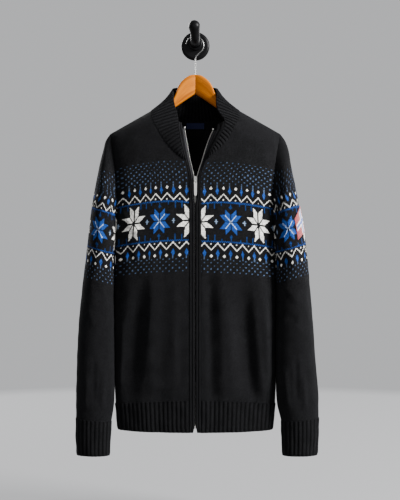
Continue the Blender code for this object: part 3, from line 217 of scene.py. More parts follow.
def cloth(node, slot, finish, outer, inner, flat, yarn=None, around=False):
    """Closed wall between two grids of points that stands for one node of the plain model.

    flat holds the UV and, round a tube, one more column.
    """
    rows, columns = outer.shape[:2]
    index = np.arange(rows * columns).reshape(rows, columns)
    keep_rows, keep_columns = np.arange(0, rows, THIN), np.arange(0, columns, THIN)
    picked = inner[keep_rows][:, keep_columns]
    inside = rows * columns + np.arange(picked[..., 0].size).reshape(picked.shape[:2])
    points = np.concatenate([outer.reshape(-1, 3), picked.reshape(-1, 3)])
    if yarn is not None:
        plain = yarn[keep_rows][:, keep_columns]
        yarn = np.concatenate([yarn.reshape(-1, 3), plain.reshape(-1, 3)])
    if around:
        index, inside = closed(index), closed(inside)
        keep_columns = np.append(keep_columns, columns)
    flat_inside = flat[keep_rows][:, keep_columns]
    sheets = [
        (squares(index), squares(flat)),
        (squares(inside)[:, TURNED], squares(flat_inside)[:, TURNED]),
    ]
    grids = (index, inside, flat, flat_inside)
    borders = [([grid[0] for grid in grids], True), ([grid[-1] for grid in grids], False)]
    if not around:
        borders.append(([grid[:, 0] for grid in grids], False))
        borders.append(([grid[:, -1] for grid in grids], True))
    for (fine, coarse, fine_flat, coarse_flat), back in borders:
        faces, uv = (
            np.concatenate([runs_of(near), far[1:, None], far[:-1, None]], axis=1)
            for near, far in ((fine, coarse), (fine_flat, coarse_flat))
        )
        sheets.append((faces[:, ::-1], uv[:, ::-1]) if back else (faces, uv))
    name = node + "_" + (slot if slot in ("knit", "rib") else "cloth")
    piece = put_mesh(name, points, sheets, finish, [node], colours=yarn)


# %% [markdown]
# The cloth's form is one formula for the body and one for a sleeve, each a smooth surface of two
# numbers. Their sizes stand in short tables, and `through` draws a smooth curve through a table's
# column. These are the same tables that the plain model was made from, so both lie together.
# %% Sizes of the cloth
KNIT = 0.0025
RIB = 0.0032
COLLAR_WALL = 0.0046
BAND_WALL = 0.0034
TAPE_WALL = 0.0008
SEAM = 0.0003
STEP = 1e-3
RIDGE_TOP_Z = -0.0957
TIP_X = 0.1880
TIP_Z = -0.2075
RIDGE_BACK_Y = -0.028
RIDGE_REACH_Y = -0.042
RIDGE_POWER = 0.85
FRONT_ROUND = 0.060
BACK_ROUND = 0.050
ARMPIT_X = 0.1770
ARMPIT_Z = -0.4400
ARMHOLE_Y = -0.0670
ARMHOLE_TILT = -0.0030
ARMHOLE_HALF_DEPTH = 0.0210
ARMHOLE_BOW = 0.0105
HEM_TOP_SIDE_Z = -0.8040
HEM_END_SIDE_Z = -0.8610
CORNER_POWER = 3.0
MIDDLE_SPEED = 1.1
CORNER_SPEED = 6.0

BODY = table(
    "side_z droop flatness front_y back_y",
    (-0.8610, -0.0035, 2.2, -0.098, -0.025),
    (-0.8040, 0.0097, 2.2, -0.100, -0.024),
    (-0.7130, 0.0090, 2.2, -0.104, -0.022),
    (-0.6220, 0.0100, 2.2, -0.108, -0.020),
    (-0.5310, 0.0120, 2.2, -0.111, -0.018),
    (-0.4400, 0.0150, 2.2, -0.113, -0.014),
    (-0.3920, 0.0160, 2.2, -0.114, -0.011),
    (-0.2984, 0.0190, 2.0, -0.113, -0.009),
    (-0.2497, 0.0360, 1.4, -0.111, -0.009),
    (-0.2203, 0.0660, 1.1, -0.107, -0.010),
    (-0.2075, 0.1118, 1.0, -0.100, -0.014),
)
SIDE = table(
    "z x y",
    (-0.8610, 0.1725, -0.0575),
    (-0.8270, 0.1750, -0.0570),
    (-0.8040, 0.1775, -0.0570),
    (-0.7130, 0.1805, -0.0570),
    (-0.6220, 0.1810, -0.0580),
    (-0.5310, 0.1795, -0.0605),
    (-0.4691, 0.1766, -0.0630),
    (-0.4400, 0.1770, -0.0640),
)
FRONT_FOLDS = table(
    "top_x top_z end_x end_z gentle steep depth",
    (0.098, -0.500, 0.128, -0.800, -0.046, 0.026, 0.0110),
    (0.032, -0.440, 0.040, -0.800, -0.018, 0.026, 0.0050),
    (-0.112, -0.500, -0.142, -0.790, -0.030, 0.028, 0.0100),
    (-0.066, -0.430, -0.075, -0.800, -0.030, 0.030, 0.0060),
)
BACK_FOLDS = table(
    "top_x top_z end_x end_z gentle steep depth",
    (0.070, -0.360, 0.115, -0.800, -0.036, 0.030, 0.0080),
    (-0.005, -0.420, 0.012, -0.800, -0.030, 0.034, 0.0050),
    (-0.085, -0.380, -0.118, -0.800, -0.032, 0.036, 0.0085),
)
SLEEVE = table(
    "along out_z out_left out_right in_z in_left in_right front_y back_y bow",
    (0.000, -0.2075, 0.1880, 0.1880, -0.4400, 0.1770, 0.1770, -0.0880, -0.0460, 0.0105),
    (0.033, -0.2245, 0.1995, 0.1985, -0.4415, 0.1776, 0.1776, -0.0985, -0.0370, 0.0070),
    (0.064, -0.2436, 0.2062, 0.2035, -0.4430, 0.1780, 0.1780, -0.1060, -0.0290, 0.0040),
    (0.117, -0.2767, 0.2120, 0.2115, -0.4470, 0.1786, 0.1784, -0.1130, -0.0220, 0.0010),
    (0.188, -0.3207, 0.2210, 0.2205, -0.4550, 0.1793, 0.1790, -0.1150, -0.0190, 0.0000),
    (0.283, -0.3802, 0.2324, 0.2303, -0.4700, 0.1800, 0.1794, -0.1160, -0.0190, 0.0000),
    (0.347, -0.4199, 0.2397, 0.2348, -0.4870, 0.1808, 0.1798, -0.1150, -0.0230, 0.0000),
    (0.466, -0.4949, 0.2490, 0.2430, -0.5350, 0.1822, 0.1806, -0.1130, -0.0320, 0.0000),
    (0.539, -0.5411, 0.2525, 0.2485, -0.5720, 0.1832, 0.1812, -0.1120, -0.0370, 0.0000),
    (0.661, -0.6183, 0.2589, 0.2560, -0.6420, 0.1838, 0.1818, -0.1100, -0.0440, 0.0000),
    (0.800, -0.7064, 0.2649, 0.2605, -0.7240, 0.1840, 0.1820, -0.1080, -0.0480, 0.0000),
    (0.939, -0.7946, 0.2715, 0.2625, -0.8060, 0.1850, 0.1822, -0.1060, -0.0510, 0.0000),
    (1.000, -0.8332, 0.2719, 0.2624, -0.8410, 0.1890, 0.1845, -0.1040, -0.0540, 0.0000),
    (1.500, -0.8750, 0.2712, 0.2622, -0.8790, 0.1903, 0.1866, -0.1030, -0.0545, 0.0000),
    (2.000, -0.9150, 0.2684, 0.2606, -0.9160, 0.1911, 0.1880, -0.1025, -0.0550, 0.0000),
)

EDGE_LEFT = table(
    "z out_x out_y in_x in_rise in_back tooth_x tooth_rise",
    (-0.8640, 0.0127, 0.0, 0.0042, 0.000, 0.0000, 0.0015, 0.000),
    (-0.8520, 0.0127, 0.0, 0.0018, 0.000, 0.0000, 0.0015, 0.000),
    (-0.8430, 0.0127, 0.0, 0.0006, 0.000, 0.0000, 0.0015, 0.000),
    (-0.3640, 0.0127, 0.0, 0.0006, 0.000, 0.0000, 0.0015, 0.000),
    (-0.3500, 0.0128, 0.0, 0.0040, 0.000, 0.0000, 0.0015, 0.000),
    (-0.3400, 0.0129, 0.0, 0.0052, 0.000, 0.0000, 0.0015, 0.000),
    (-0.3180, 0.0130, 0.0, 0.0066, 0.000, 0.0000, 0.0016, 0.000),
    (-0.3030, 0.0138, 0.0, 0.0080, 0.000, 0.0000, 0.0044, 0.000),
    (-0.2900, 0.0170, 0.0, 0.0110, 0.000, 0.0016, 0.0080, 0.000),
    (-0.2645, 0.0257, -0.1130, 0.0190, 0.000, 0.0045, 0.0161, 0.000),
    (-0.2329, 0.0432, -0.1150, 0.0300, -0.003, 0.0060, 0.0250, -0.003),
    (-0.2088, 0.0564, -0.1130, 0.0395, -0.004, 0.0065, 0.0345, -0.002),
    (-0.1960, 0.0636, -0.1095, 0.0450, -0.005, 0.0070, 0.0400, -0.003),
    (-0.1820, 0.0640, -0.1030, 0.0480, -0.007, 0.0075, 0.0430, -0.007),
)
EDGE_RIGHT = table(
    "z out_x out_y in_x in_rise in_back tooth_x tooth_rise",
    (-0.8640, 0.0133, 0.0, 0.0045, 0.000, 0.0000, 0.0015, 0.000),
    (-0.8520, 0.0133, 0.0, 0.0018, 0.000, 0.0000, 0.0015, 0.000),
    (-0.8430, 0.0133, 0.0, 0.0006, 0.000, 0.0000, 0.0015, 0.000),
    (-0.3640, 0.0133, 0.0, 0.0006, 0.000, 0.0000, 0.0015, 0.000),
    (-0.3500, 0.0134, 0.0, 0.0040, 0.000, 0.0000, 0.0015, 0.000),
    (-0.3400, 0.0134, 0.0, 0.0052, 0.000, 0.0000, 0.0015, 0.000),
    (-0.3180, 0.0134, 0.0, 0.0062, 0.000, 0.0000, 0.0015, 0.000),
    (-0.3030, 0.0137, 0.0, 0.0073, 0.000, 0.0000, 0.0029, 0.000),
    (-0.2900, 0.0158, 0.0, 0.0096, 0.000, 0.0016, 0.0056, 0.000),
    (-0.2645, 0.0222, -0.1130, 0.0150, 0.000, 0.0045, 0.0115, 0.000),
    (-0.2329, 0.0305, -0.1150, 0.0212, 0.000, 0.0055, 0.0175, 0.000),
    (-0.2088, 0.0352, -0.1130, 0.0250, 0.000, 0.0055, 0.0215, 0.000),
    (-0.1960, 0.0372, -0.1095, 0.0272, 0.000, 0.0055, 0.0238, 0.000),
    (-0.1830, 0.0365, -0.1035, 0.0290, -0.003, 0.0060, 0.0252, -0.003),
)
CORNER = 0.33
NECK_POINT = 0.64
COLLAR_LEFT = table(
    "around seam_x seam_z top_x top_y top_z",
    (0.00, 0.0245, -0.2690, 0.0290, -0.1135, -0.2580),
    (0.10, 0.0520, -0.2440, 0.0432, -0.1150, -0.2329),
    (0.20, 0.0715, -0.2225, 0.0564, -0.1130, -0.2088),
    (0.27, 0.0790, -0.2085, 0.0636, -0.1095, -0.1960),
    (0.33, 0.0855, -0.1965, 0.0640, -0.1030, -0.1820),
    (0.41, 0.0915, -0.1840, 0.0583, -0.0940, -0.1700),
    (0.49, 0.0968, -0.1725, 0.0490, -0.0830, -0.1550),
    (0.57, 0.0995, -0.1625, 0.0460, -0.0700, -0.1370),
    (0.64, 0.0997, -0.1550, 0.0475, -0.0540, -0.1170),
    (0.74, 0.0870, -0.1600, 0.0490, -0.0290, -0.1000),
    (0.87, 0.0480, -0.1700, 0.0300, -0.0130, -0.0945),
    (1.00, 0.0000, -0.1730, 0.0000, -0.0100, -0.0920),
)
COLLAR_RIGHT = table(
    "around seam_x seam_z top_x top_y top_z",
    (0.00, 0.0210, -0.2690, 0.0240, -0.1135, -0.2580),
    (0.10, 0.0430, -0.2530, 0.0280, -0.1145, -0.2420),
    (0.20, 0.0620, -0.2340, 0.0340, -0.1140, -0.2160),
    (0.27, 0.0750, -0.2150, 0.0372, -0.1095, -0.1960),
    (0.33, 0.0840, -0.1990, 0.0365, -0.1035, -0.1830),
    (0.41, 0.0912, -0.1850, 0.0385, -0.0940, -0.1680),
    (0.49, 0.0966, -0.1730, 0.0425, -0.0830, -0.1520),
    (0.57, 0.0995, -0.1625, 0.0465, -0.0700, -0.1370),
    (0.64, 0.0997, -0.1550, 0.0490, -0.0540, -0.1170),
    (0.74, 0.0870, -0.1600, 0.0500, -0.0290, -0.1000),
    (0.87, 0.0480, -0.1700, 0.0300, -0.0130, -0.0945),
    (1.00, 0.0000, -0.1730, 0.0000, -0.0100, -0.0920),
)
print(len(BODY), "body rows,", len(SLEEVE), "sleeve rows")

# %% Curves through tables, and small helpers


def through(rows, column, at):
    """A smooth curve through one column of a table against its first column.

    Each slope is the harmonic mean of the slopes to its two neighbours, or level where they
    turn, so the curve never overshoots a row.
    """
    keys = np.array([row[0] for row in rows], float)
    values = np.array([getattr(row, column) for row in rows], float)
    gaps = np.diff(keys)
    steps = np.diff(values) / gaps
    slopes = np.zeros(len(keys))
    before, after = steps[:-1], steps[1:]
    same = before * after > 0
    total = np.where(same, before + after, 1.0)
    slopes[1:-1] = np.where(same, 2 * before * after / total, 0.0)
    slopes[0], slopes[-1] = steps[0], steps[-1]
    at = np.clip(np.asarray(at, float), keys[0], keys[-1])
    i = np.clip(np.searchsorted(keys, at, side="right") - 1, 0, len(gaps) - 1)
    f = (at - keys[i]) / gaps[i]
    return (
        (2 * f**3 - 3 * f**2 + 1) * values[i]
        + (f**3 - 2 * f**2 + f) * gaps[i] * slopes[i]
        + (3 * f**2 - 2 * f**3) * values[i + 1]
        + (f**3 - f**2) * gaps[i] * slopes[i + 1]
    )


def smooth(value):
    value = np.clip(value, 0.0, 1.0)
    return value * value * (3 - 2 * value)


def unit(vectors):
    return vectors / np.linalg.norm(vectors, axis=-1, keepdims=True)


def inward(surface, first, second, centre):
    """Unit normals of a surface of two numbers, turned towards the point centre."""
    along = surface(first + STEP, second) - surface(first - STEP, second)
    down = surface(first, second + STEP) - surface(first, second - STEP)
    normals = unit(np.cross(along, down))
    facing = np.sum(normals * (centre - surface(first, second)))
    return normals if facing > 0 else -normals


print("half way down the side:", round(float(through(SIDE, "x", -0.65)), 4), "m from the middle")

# %% The body's form


def rounded(across):
    """Width and depth along a quarter of a flattened round, 0 at the middle and 1 at the side."""
    across = np.clip(across, 0.0, 1.0)
    lean = MIDDLE_SPEED * across / np.maximum(1 - across**CORNER_SPEED, 1e-9)
    angle = np.arctan(lean)
    reach = (np.sin(angle) ** CORNER_POWER + np.cos(angle) ** CORNER_POWER) ** (-1 / CORNER_POWER)
    return reach * np.sin(angle), reach * np.cos(angle)


ACROSS_SAMPLES = np.linspace(0.0, 1.0, 2001)
WIDTH_SAMPLES = rounded(ACROSS_SAMPLES)[0]


def across_at(width):
    return np.interp(width, WIDTH_SAMPLES, ACROSS_SAMPLES)


def armhole(turn):
    """The armhole loop: turn is 0 at the shoulder tip and pi at the armpit, positive in front."""
    middle_x = (TIP_X + ARMPIT_X) / 2
    middle_z = (TIP_Z + ARMPIT_Z) / 2
    x = middle_x + (TIP_X - middle_x) * np.cos(turn) - ARMHOLE_BOW * np.sin(turn) ** 2
    y = ARMHOLE_Y + ARMHOLE_TILT * np.cos(turn) - ARMHOLE_HALF_DEPTH * np.sin(turn)
    z = middle_z + (TIP_Z - middle_z) * np.cos(turn)
    return x, y, z


def side_edge(down, front):
    """The outer edge of a panel: the armhole to down 1, then the side seam."""
    turn = np.pi * np.clip(down, 0.0, 1.0) * (1 if front else -1)
    x, y, z = armhole(turn)
    to_hem = (HEM_TOP_SIDE_Z - ARMPIT_Z) * np.clip(down - 1, 0.0, 1.0)
    to_end = (HEM_END_SIDE_Z - HEM_TOP_SIDE_Z) * np.clip(down - 2, 0.0, 1.0)
    side_z = ARMPIT_Z + to_hem + to_end
    below = down > 1
    x = np.where(below, through(SIDE, "x", side_z), x)
    y = np.where(below, through(SIDE, "y", side_z), y)
    return x, y, np.where(below, side_z, z)


def ridge(x):
    """Depth and height of the shoulder line above a place x from the middle."""
    y = RIDGE_BACK_Y + RIDGE_REACH_Y * (np.abs(x) / TIP_X) ** RIDGE_POWER
    return y, RIDGE_TOP_Z + (TIP_Z - RIDGE_TOP_Z) * np.abs(x) / TIP_X


def fold_depth(x, z, folds):
    """How far the long folds sink the cloth at a place of the front or the back."""
    sunk = np.zeros(np.broadcast(x, z).shape)
    for fold in folds:
        run = (fold.top_z - z) / (fold.top_z - fold.end_z)
        beside = x - (fold.top_x + (fold.end_x - fold.top_x) * run)
        width = np.where(beside < 0, -fold.gentle, fold.steep)
        wall = 1 - smooth(np.abs(beside) / width)
        fade = smooth(run / 0.45) * (1 - 0.75 * smooth((run - 0.75) / 0.35))
        sunk = sunk + fold.depth * wall * fade
    return sunk


def body(across, down, front, side):
    """A point of the body: across 0 to 1 from the middle to the side, down 0 to 3."""
    across, down = np.broadcast_arrays(across, np.clip(down, 0.0, 3.0))
    width, depth = rounded(across)
    side_x, side_y, side_z = side_edge(down, front)
    middle_z = side_z + through(BODY, "droop", side_z)
    x = side_x * width
    z = middle_z + (side_z - middle_z) * width ** through(BODY, "flatness", side_z)
    ridge_y, ridge_z = ridge(x)
    fall = np.clip((ridge_z - z) / (FRONT_ROUND if front else BACK_ROUND), 0.0, 1.0)
    reach = np.sqrt(1 - (1 - fall) ** 2)
    sheet_y = through(BODY, "front_y" if front else "back_y", side_z)
    folds = FRONT_FOLDS if front else BACK_FOLDS
    sunk = fold_depth(side * x, z, folds) * (1 if front else -1)
    middle_y = np.where(down < 1, (side_y + side_edge(down, not front)[1]) / 2, side_y)
    bulge = ridge_y + (sheet_y - ridge_y) * reach - middle_y
    edge_share = np.clip((side_y - middle_y) / np.where(bulge == 0, 1.0, bulge), 0.0, 1.0) ** 3
    depth = np.cbrt(edge_share + (1 - edge_share) * depth**3)
    return np.stack([side * x, middle_y + (bulge + sunk) * depth, z], axis=-1)


def locate(x, z, front, side):
    """The (across, down) of the body at a given place x, z, found by halving."""
    low = np.zeros(np.shape(x))
    high = np.full(np.shape(x), 3.0)
    for _ in range(40):
        middle = (low + high) / 2
        width = np.clip(x / side_edge(middle, front)[0], 0.0, 1.0)
        above = body(across_at(width), middle, front, side)[..., 2] > z
        low = np.where(above, middle, low)
        high = np.where(above, high, middle)
    return across_at(np.clip(x / side_edge(low, front)[0], 0.0, 1.0)), low


def armhole_inward(turn):
    """The way into the cloth at the armhole, square to its loop, shared by body and sleeve."""
    _, ahead_y, ahead_z = armhole(turn + STEP)
    _, behind_y, behind_z = armhole(turn - STEP)
    ways = np.stack([0 * turn, behind_z - ahead_z, ahead_y - behind_y], axis=-1)
    return unit(ways)


def body_inward(across, down, front, side):
    centre = np.array([0.0, -0.062, -0.5])
    ways = inward(lambda a, d: body(a, d, front, side), across, down, centre)
    turn = np.pi * np.clip(down, 0.0, 1.0) * (1 if front else -1)
    at_armhole = (np.abs(across - 1) < 1e-6) & (down < 1 + 1e-6)
    return np.where(at_armhole[..., None], armhole_inward(turn), ways)


print("front middle at the chest:", body(0.0, 0.6, True, 1).round(4))

# %% The sleeve's form


def sleeve(turn, along, side):
    """A point of a sleeve: turn is 0 at its outer line, positive in front; along is 0 to 2."""
    along = np.clip(along, 0.0, 2.0)
    column = "left" if side > 0 else "right"
    out_x, in_x, out_z, in_z, front_y, back_y, bow = (
        through(SLEEVE, name, along)
        for name in ("out_" + column, "in_" + column, "out_z", "in_z", "front_y", "back_y", "bow")
    )
    tilt = ARMHOLE_TILT * (1 - smooth(along / 0.1))
    c, s = np.cos(turn), np.sin(turn)
    x = (out_x + in_x) / 2 + (out_x - in_x) / 2 * c - bow * s**2
    y = (front_y + back_y) / 2 - (back_y - front_y) / 2 * s + tilt * c
    z = (out_z + in_z) / 2 + (out_z - in_z) / 2 * c
    return spread(side * (x + SEAM), y, z)


def sleeve_inward(turn, along, side):
    centre = np.array([side * 0.22, -0.07, -0.6])
    return inward(lambda t, a: sleeve(t, a, side), turn, along, centre)


print("left cuff's outer end:", sleeve(0.0, 2.0, 1).round(4))

# %% The neck seam and the front edges


def tables(side):
    return (EDGE_LEFT, COLLAR_LEFT) if side > 0 else (EDGE_RIGHT, COLLAR_RIGHT)


def neck_seam(around, side):
    """The neck seam in the body's own numbers, from the front corner to the middle of the back."""
    edge, collar = tables(side)
    corner_x = through(edge, "out_x", collar[0].seam_z) + SEAM
    x = np.where(around == 0, corner_x, through(collar, "seam_x", around))
    z = through(collar, "seam_z", around)
    in_front = around < NECK_POINT
    across_front, down_front = locate(x, z, True, side)
    across_back, down_back = locate(x, z, False, side)
    down = np.where(in_front, down_front, down_back)
    down = np.where(np.abs(around - NECK_POINT) < 1e-6, 0.0, down)
    return np.where(in_front, across_front, across_back), down, in_front


def band_across(down, corner_down, side):
    """Where the band's outer edge lies across the front at each level, below the neck corner."""
    edge = tables(side)[0]
    down = np.maximum(down, corner_down)
    across = across_at(0.07) * np.ones_like(down)
    for _ in range(12):
        z = body(across, down, True, side)[..., 2]
        x = through(edge, "out_x", z) + SEAM
        across = across_at(x / side_edge(down, True)[0])
    return across


def draw_back(border, beside):
    """A border of a grid moved half a seam towards its neighbour, square to the seam."""
    along = unit(np.gradient(border, axis=0))
    inwards = beside - border
    square = inwards - along * np.sum(inwards * along, axis=-1, keepdims=True)
    return border + SEAM / 2 * unit(square)


BORDERS = {"top": (0, 0, 1), "foot": (0, -1, -2), "start": (1, 0, 1), "end": (1, -1, -2)}


def wall(face, ways, thick, *seams):
    """The two sides of a cloth on a grid, drawn back at the borders that are seams."""
    drawn = face.copy()
    for seam in seams:
        axis, border, beside = BORDERS[seam]
        lines, moved = np.swapaxes(face, 0, axis), np.swapaxes(drawn, 0, axis)
        moved[border] += draw_back(lines[border], lines[beside]) - lines[border]
    return drawn, drawn + thick * ways


def edge_out(z, side):
    """The outer edge of a band: on the body below the neck corner, the collar's edge above."""
    edge, collar = tables(side)
    z = np.asarray(z, float)
    x = through(edge, "out_x", z)
    across, down = locate(x, np.minimum(z, collar[0].seam_z), True, side)
    on_body = body(across, down, True, side)[..., 1]
    above = smooth((z - collar[0].seam_z) / 0.006)
    raised = through([row for row in edge if row.out_y < 0], "out_y", z)
    y = on_body + (raised - on_body) * above
    return np.stack([side * x, y, z], axis=-1)


TAPE_BEHIND = 0.0044
TOOTH_WIDTH = 0.0025
TOOTH_DEPTH = 0.0024
TAPE_REACH = 0.0050
TAPE_BEND = 0.0035
ZIP_END_Z = -0.8480
ZIP_TOP_Z = -0.1985
SLIDER_X = 0.0007
SLIDER_TOP_Z = -0.3035
SLIDER_END_Z = -0.3175
SLIDER_HALF_WIDTH = 0.0042
SLIDER_PLATE = 0.0015
SLIDER_SLOT = 0.0036
BAIL_DROP = 0.0030
BAIL_RADIUS = 0.0023
BAIL_WIRE = 0.0006
BAIL_ROOT = 0.0008
PULL_WIDTH = 0.0068
PULL_LENGTH = 0.0330
PULL_THICK = 0.0014
PULL_EYE_HALF_WIDTH = 0.00192
PULL_EYE_TALL = 0.00408
PULL_RIM = 0.0012
PULL_GAP = 0.0004
PULL_SOFT = 0.0003
PULL_POINTS = 48
WEDGE_HALF_WIDTH = 0.0009


def edge_in(z, side):
    """The inner edge of a band, and the unit ways across it (outwards) and into it."""
    edge = tables(side)[0]
    outer = edge_out(z, side)
    x = through(edge, "in_x", z)
    y = outer[..., 1] + through(edge, "in_back", z)
    inner = np.stack([side * x, y, z + through(edge, "in_rise", z)], axis=-1)
    across = unit(outer - inner)
    way_in = unit(np.cross(edge_out(z + STEP, side) - edge_out(z - STEP, side), across))
    return inner, across, way_in * np.sign(way_in[..., 1:2])


def tooth_line(z, side):
    """The row of teeth: beyond the inner edge of the band, and TAPE_BEHIND into it."""
    edge = tables(side)[0]
    inner, _, way_in = edge_in(z, side)
    x = side * through(edge, "tooth_x", z)
    height = z + through(edge, "tooth_rise", z)
    depth = TAPE_BEHIND + TOOTH_DEPTH / 2 - TAPE_WALL / 2
    slide = way_in[..., 0] * (x - inner[..., 0]) + way_in[..., 2] * (height - inner[..., 2])
    y = inner[..., 1] + (depth - slide) / way_in[..., 1]
    return np.stack([x, y, height], axis=-1)


print("front edge at the chest:", edge_out(np.array([-0.4]), 1).round(4))

# %% [markdown]
# The chest band is knitted in, stitch by stitch, so it is drawn in stitches: i counts them
# sideways and j in rows from the middle of the stars. Such star, dart and dot borders are
# traditional, and each motif is a short rule on |i| and |j|, because all of them mirror. A rule
# is tried for every stitch at once and gives each its yarn.
# %% The chest band, charted in stitches
STITCH = 0.0023
COURSE = 0.0019
ROW = COURSE / STITCH
CHARCOAL = (0.0064, 0.0064, 0.0070)
WHITE = (0.84, 0.82, 0.77)
BLUE = (0.011, 0.055, 0.240)
DARK_BLUE = (0.007, 0.030, 0.120)
PALE_BLUE = (0.52, 0.64, 0.84)
CROSS_BLUE = (0.20, 0.28, 0.42)
DUSTY = (0.048, 0.076, 0.135)
STAR_PITCH = 28.5
DART_PITCH = 12.0


def from_nearest(place, period, phase):
    """How far a place lies from the nearest of phase, phase + period, and so on."""
    return np.abs((place - phase + period / 2) % period - period / 2)


def white_star(a, b):
    """Eight petals with dark lines between: four stand to 17 stitches, four lie to 12."""
    standing = (a > 0.70) & (a < 4.1 + 0.09 * (b - 6.5)) & (b > 1.4 * a + 1.0) & (b < a + 11.2)
    lying = (b > 0.70) & (b < 6.1) & (b < 1.4 * a - 0.9) & (a < 1.12 * b + 5.2)
    return standing | lying


def blue_star(a, b):
    """Eight shorter petals that touch in pairs along a pale diagonal."""
    standing = (a > 0.45) & (a < 5.6) & (b >= 1.17 * a) & (b < a + 6.5)
    lying = (b > 0.45) & (b < 6.7) & (b < 1.17 * a) & (a < 0.85 * b + 5.2)
    return standing | lying


def chart(across, down, star_at, dart_at):
    """Yarn colours (n, 3) at across and down, in stitch widths from the stars' line, leg by leg."""
    i = (np.floor(2 * across) + 0.5) / 2
    j = (np.floor(2 * down / ROW) + 0.5) * ROW / 2
    b = np.abs(j) * np.where(j > 0, 0.965, 1.0)
    white_a = from_nearest(i, 2 * STAR_PITCH, star_at)
    blue_a = from_nearest(i, 2 * STAR_PITCH, star_at + STAR_PITCH)
    dart = from_nearest(i, DART_PITCH, dart_at)
    between = DART_PITCH / 2 - dart
    yarn = np.empty(i.shape + (3,))
    yarn[:] = CHARCOAL

    def knit(where, colour):
        yarn[where] = colour

    for levels, first, gap, way, odd in ((9, 36.6, 2.5, -1, 0), (5, 35.4, 2.75, 1, 1)):
        for level in range(levels):
            dots = from_nearest(i, 6.0, dart_at + 3.0 * ((level + odd) % 2)) < 0.55
            knit(dots & (way * j > 0) & (np.abs(b - first - gap * level) < 0.55), DUSTY)
    knit((between < 0.55) & (b > 32.0) & (b < 35.0), DUSTY)
    knit(between / 1.7 + np.abs(b - 29.3) / 3.6 < 1, BLUE)
    knit(dart / 1.3 + np.abs(b - 31.9) / 1.5 < 1, WHITE)
    line = 26.4 - 6.4 * dart / (DART_PITCH / 2)
    knit(np.abs(b - line) < 0.50, WHITE)
    knit((dart < 0.45) & (np.abs(b - 20.8) < 0.60), WHITE)
    checked = (np.floor(i) + np.floor(np.abs(j) / ROW)) % 2 < 0.5
    knit((np.abs(b - 18.5) < 0.75) & checked, BLUE)
    for place, reach in ((7.0, 12.8), (13.0, 12.2), (19.5, 15.4)):
        knit((np.abs(white_a - place) < 0.45) & (b > reach) & (b < 18.0), DARK_BLUE)
    knit((blue_a < 0.45) & (b > 12.2) & (b < 17.0), DARK_BLUE)
    knit(blue_a / 1.7 + np.abs(b - 13.8) / 1.9 < 1, DARK_BLUE)
    knit(blue_star(blue_a, b), BLUE)
    knit((np.abs(1.17 * blue_a - b) < 0.45) & (blue_a > 0.5) & (blue_a < 5.6), PALE_BLUE)
    cross = np.abs(white_a - 14.6)
    knit(((cross < 0.55) & (b < 2.2)) | ((cross < 1.6) & (b < 0.5)), CROSS_BLUE)
    knit(white_star(white_a, b), WHITE)
    return yarn


print("band is", round(2 * 56 * STITCH, 3), "m tall")

# %% [markdown]
# Finishes come before the pieces that wear them. A finish is a small graph of shader nodes.
# These helpers add a node and wire its inputs in one call; a plain number is set on the socket
# itself, so that it survives the export.
# %% Helpers for finishes
def feed(tree, socket, value):
    if isinstance(value, bpy.types.NodeSocket):
        tree.links.new(value, socket)
    else:
        socket.default_value = value


def add_node(tree, kind, settings, **inputs):
    made = tree.nodes.new("ShaderNode" + kind)
    for key, value in settings.items():
        setattr(made, key, value)
    for key, value in inputs.items():
        feed(tree, made.inputs[key.replace("_", " ")], value)
    return made


def maths(tree, operation, *values):
    made = tree.nodes.new("ShaderNodeMath")
    made.operation = operation
    for k, value in enumerate(values):
        feed(tree, made.inputs[k], value)
    return made.outputs[0]


def new_finish(name, roughness, metallic=0.0, **sockets):
    """A material with a Principled shader; sockets are set by their names."""
    finish = bpy.data.materials.new(name)
    finish.use_nodes = True
    shader = finish.node_tree.nodes["Principled BSDF"]
    for key, value in {"Roughness": roughness, "Metallic": metallic, **sockets}.items():
        shader.inputs[key.replace("_", " ")].default_value = value
    return finish, finish.node_tree, shader


def on_cloth(tree):
    """The place on the flat cloth: the UV, and its two parts."""
    flat = add_node(tree, "UVMap", {"uv_map": "flat"}).outputs["UV"]
    parts = add_node(tree, "SeparateXYZ", {}, Vector=flat).outputs
    return flat, parts[0], parts[1]


def in_space(tree):
    return add_node(tree, "TexCoord", {}).outputs["Object"]


def yarn_of(tree):
    """The colours painted on the points."""
    return add_node(tree, "Attribute", {"attribute_name": "yarn"}).outputs["Color"]


def raise_by(tree, shader, height, distance, strength=1.0):
    """Bump the surface by a height socket, distance in metres."""
    bump = add_node(tree, "Bump", {}, Strength=strength, Distance=distance, Height=height)
    tree.links.new(bump.outputs["Normal"], shader.inputs["Normal"])


def tint(tree, shader, colour, amount):
    """Give the shader a colour made lighter and darker by a factor socket."""
    mix = add_node(tree, "VectorMath", {"operation": "SCALE"}, Scale=amount)
    feed(tree, mix.inputs[0], colour)
    tree.links.new(mix.outputs[0], shader.inputs["Base Color"])


def times(tree, *values):
    return maths(tree, "MULTIPLY", *values)


def scaled(tree, value, factor, plus):
    """A value times a factor, plus a number."""
    return maths(tree, "MULTIPLY_ADD", value, factor, plus)


def wave(tree, value, length):
    """The sine of a value that repeats after a length."""
    return maths(tree, "SINE", times(tree, value, 2 * np.pi / length))


def noise(tree, place, scale, detail=2.0):
    return add_node(tree, "TexNoise", {}, Vector=place, Scale=scale, Detail=detail).outputs["Fac"]


print("finish helpers ready")

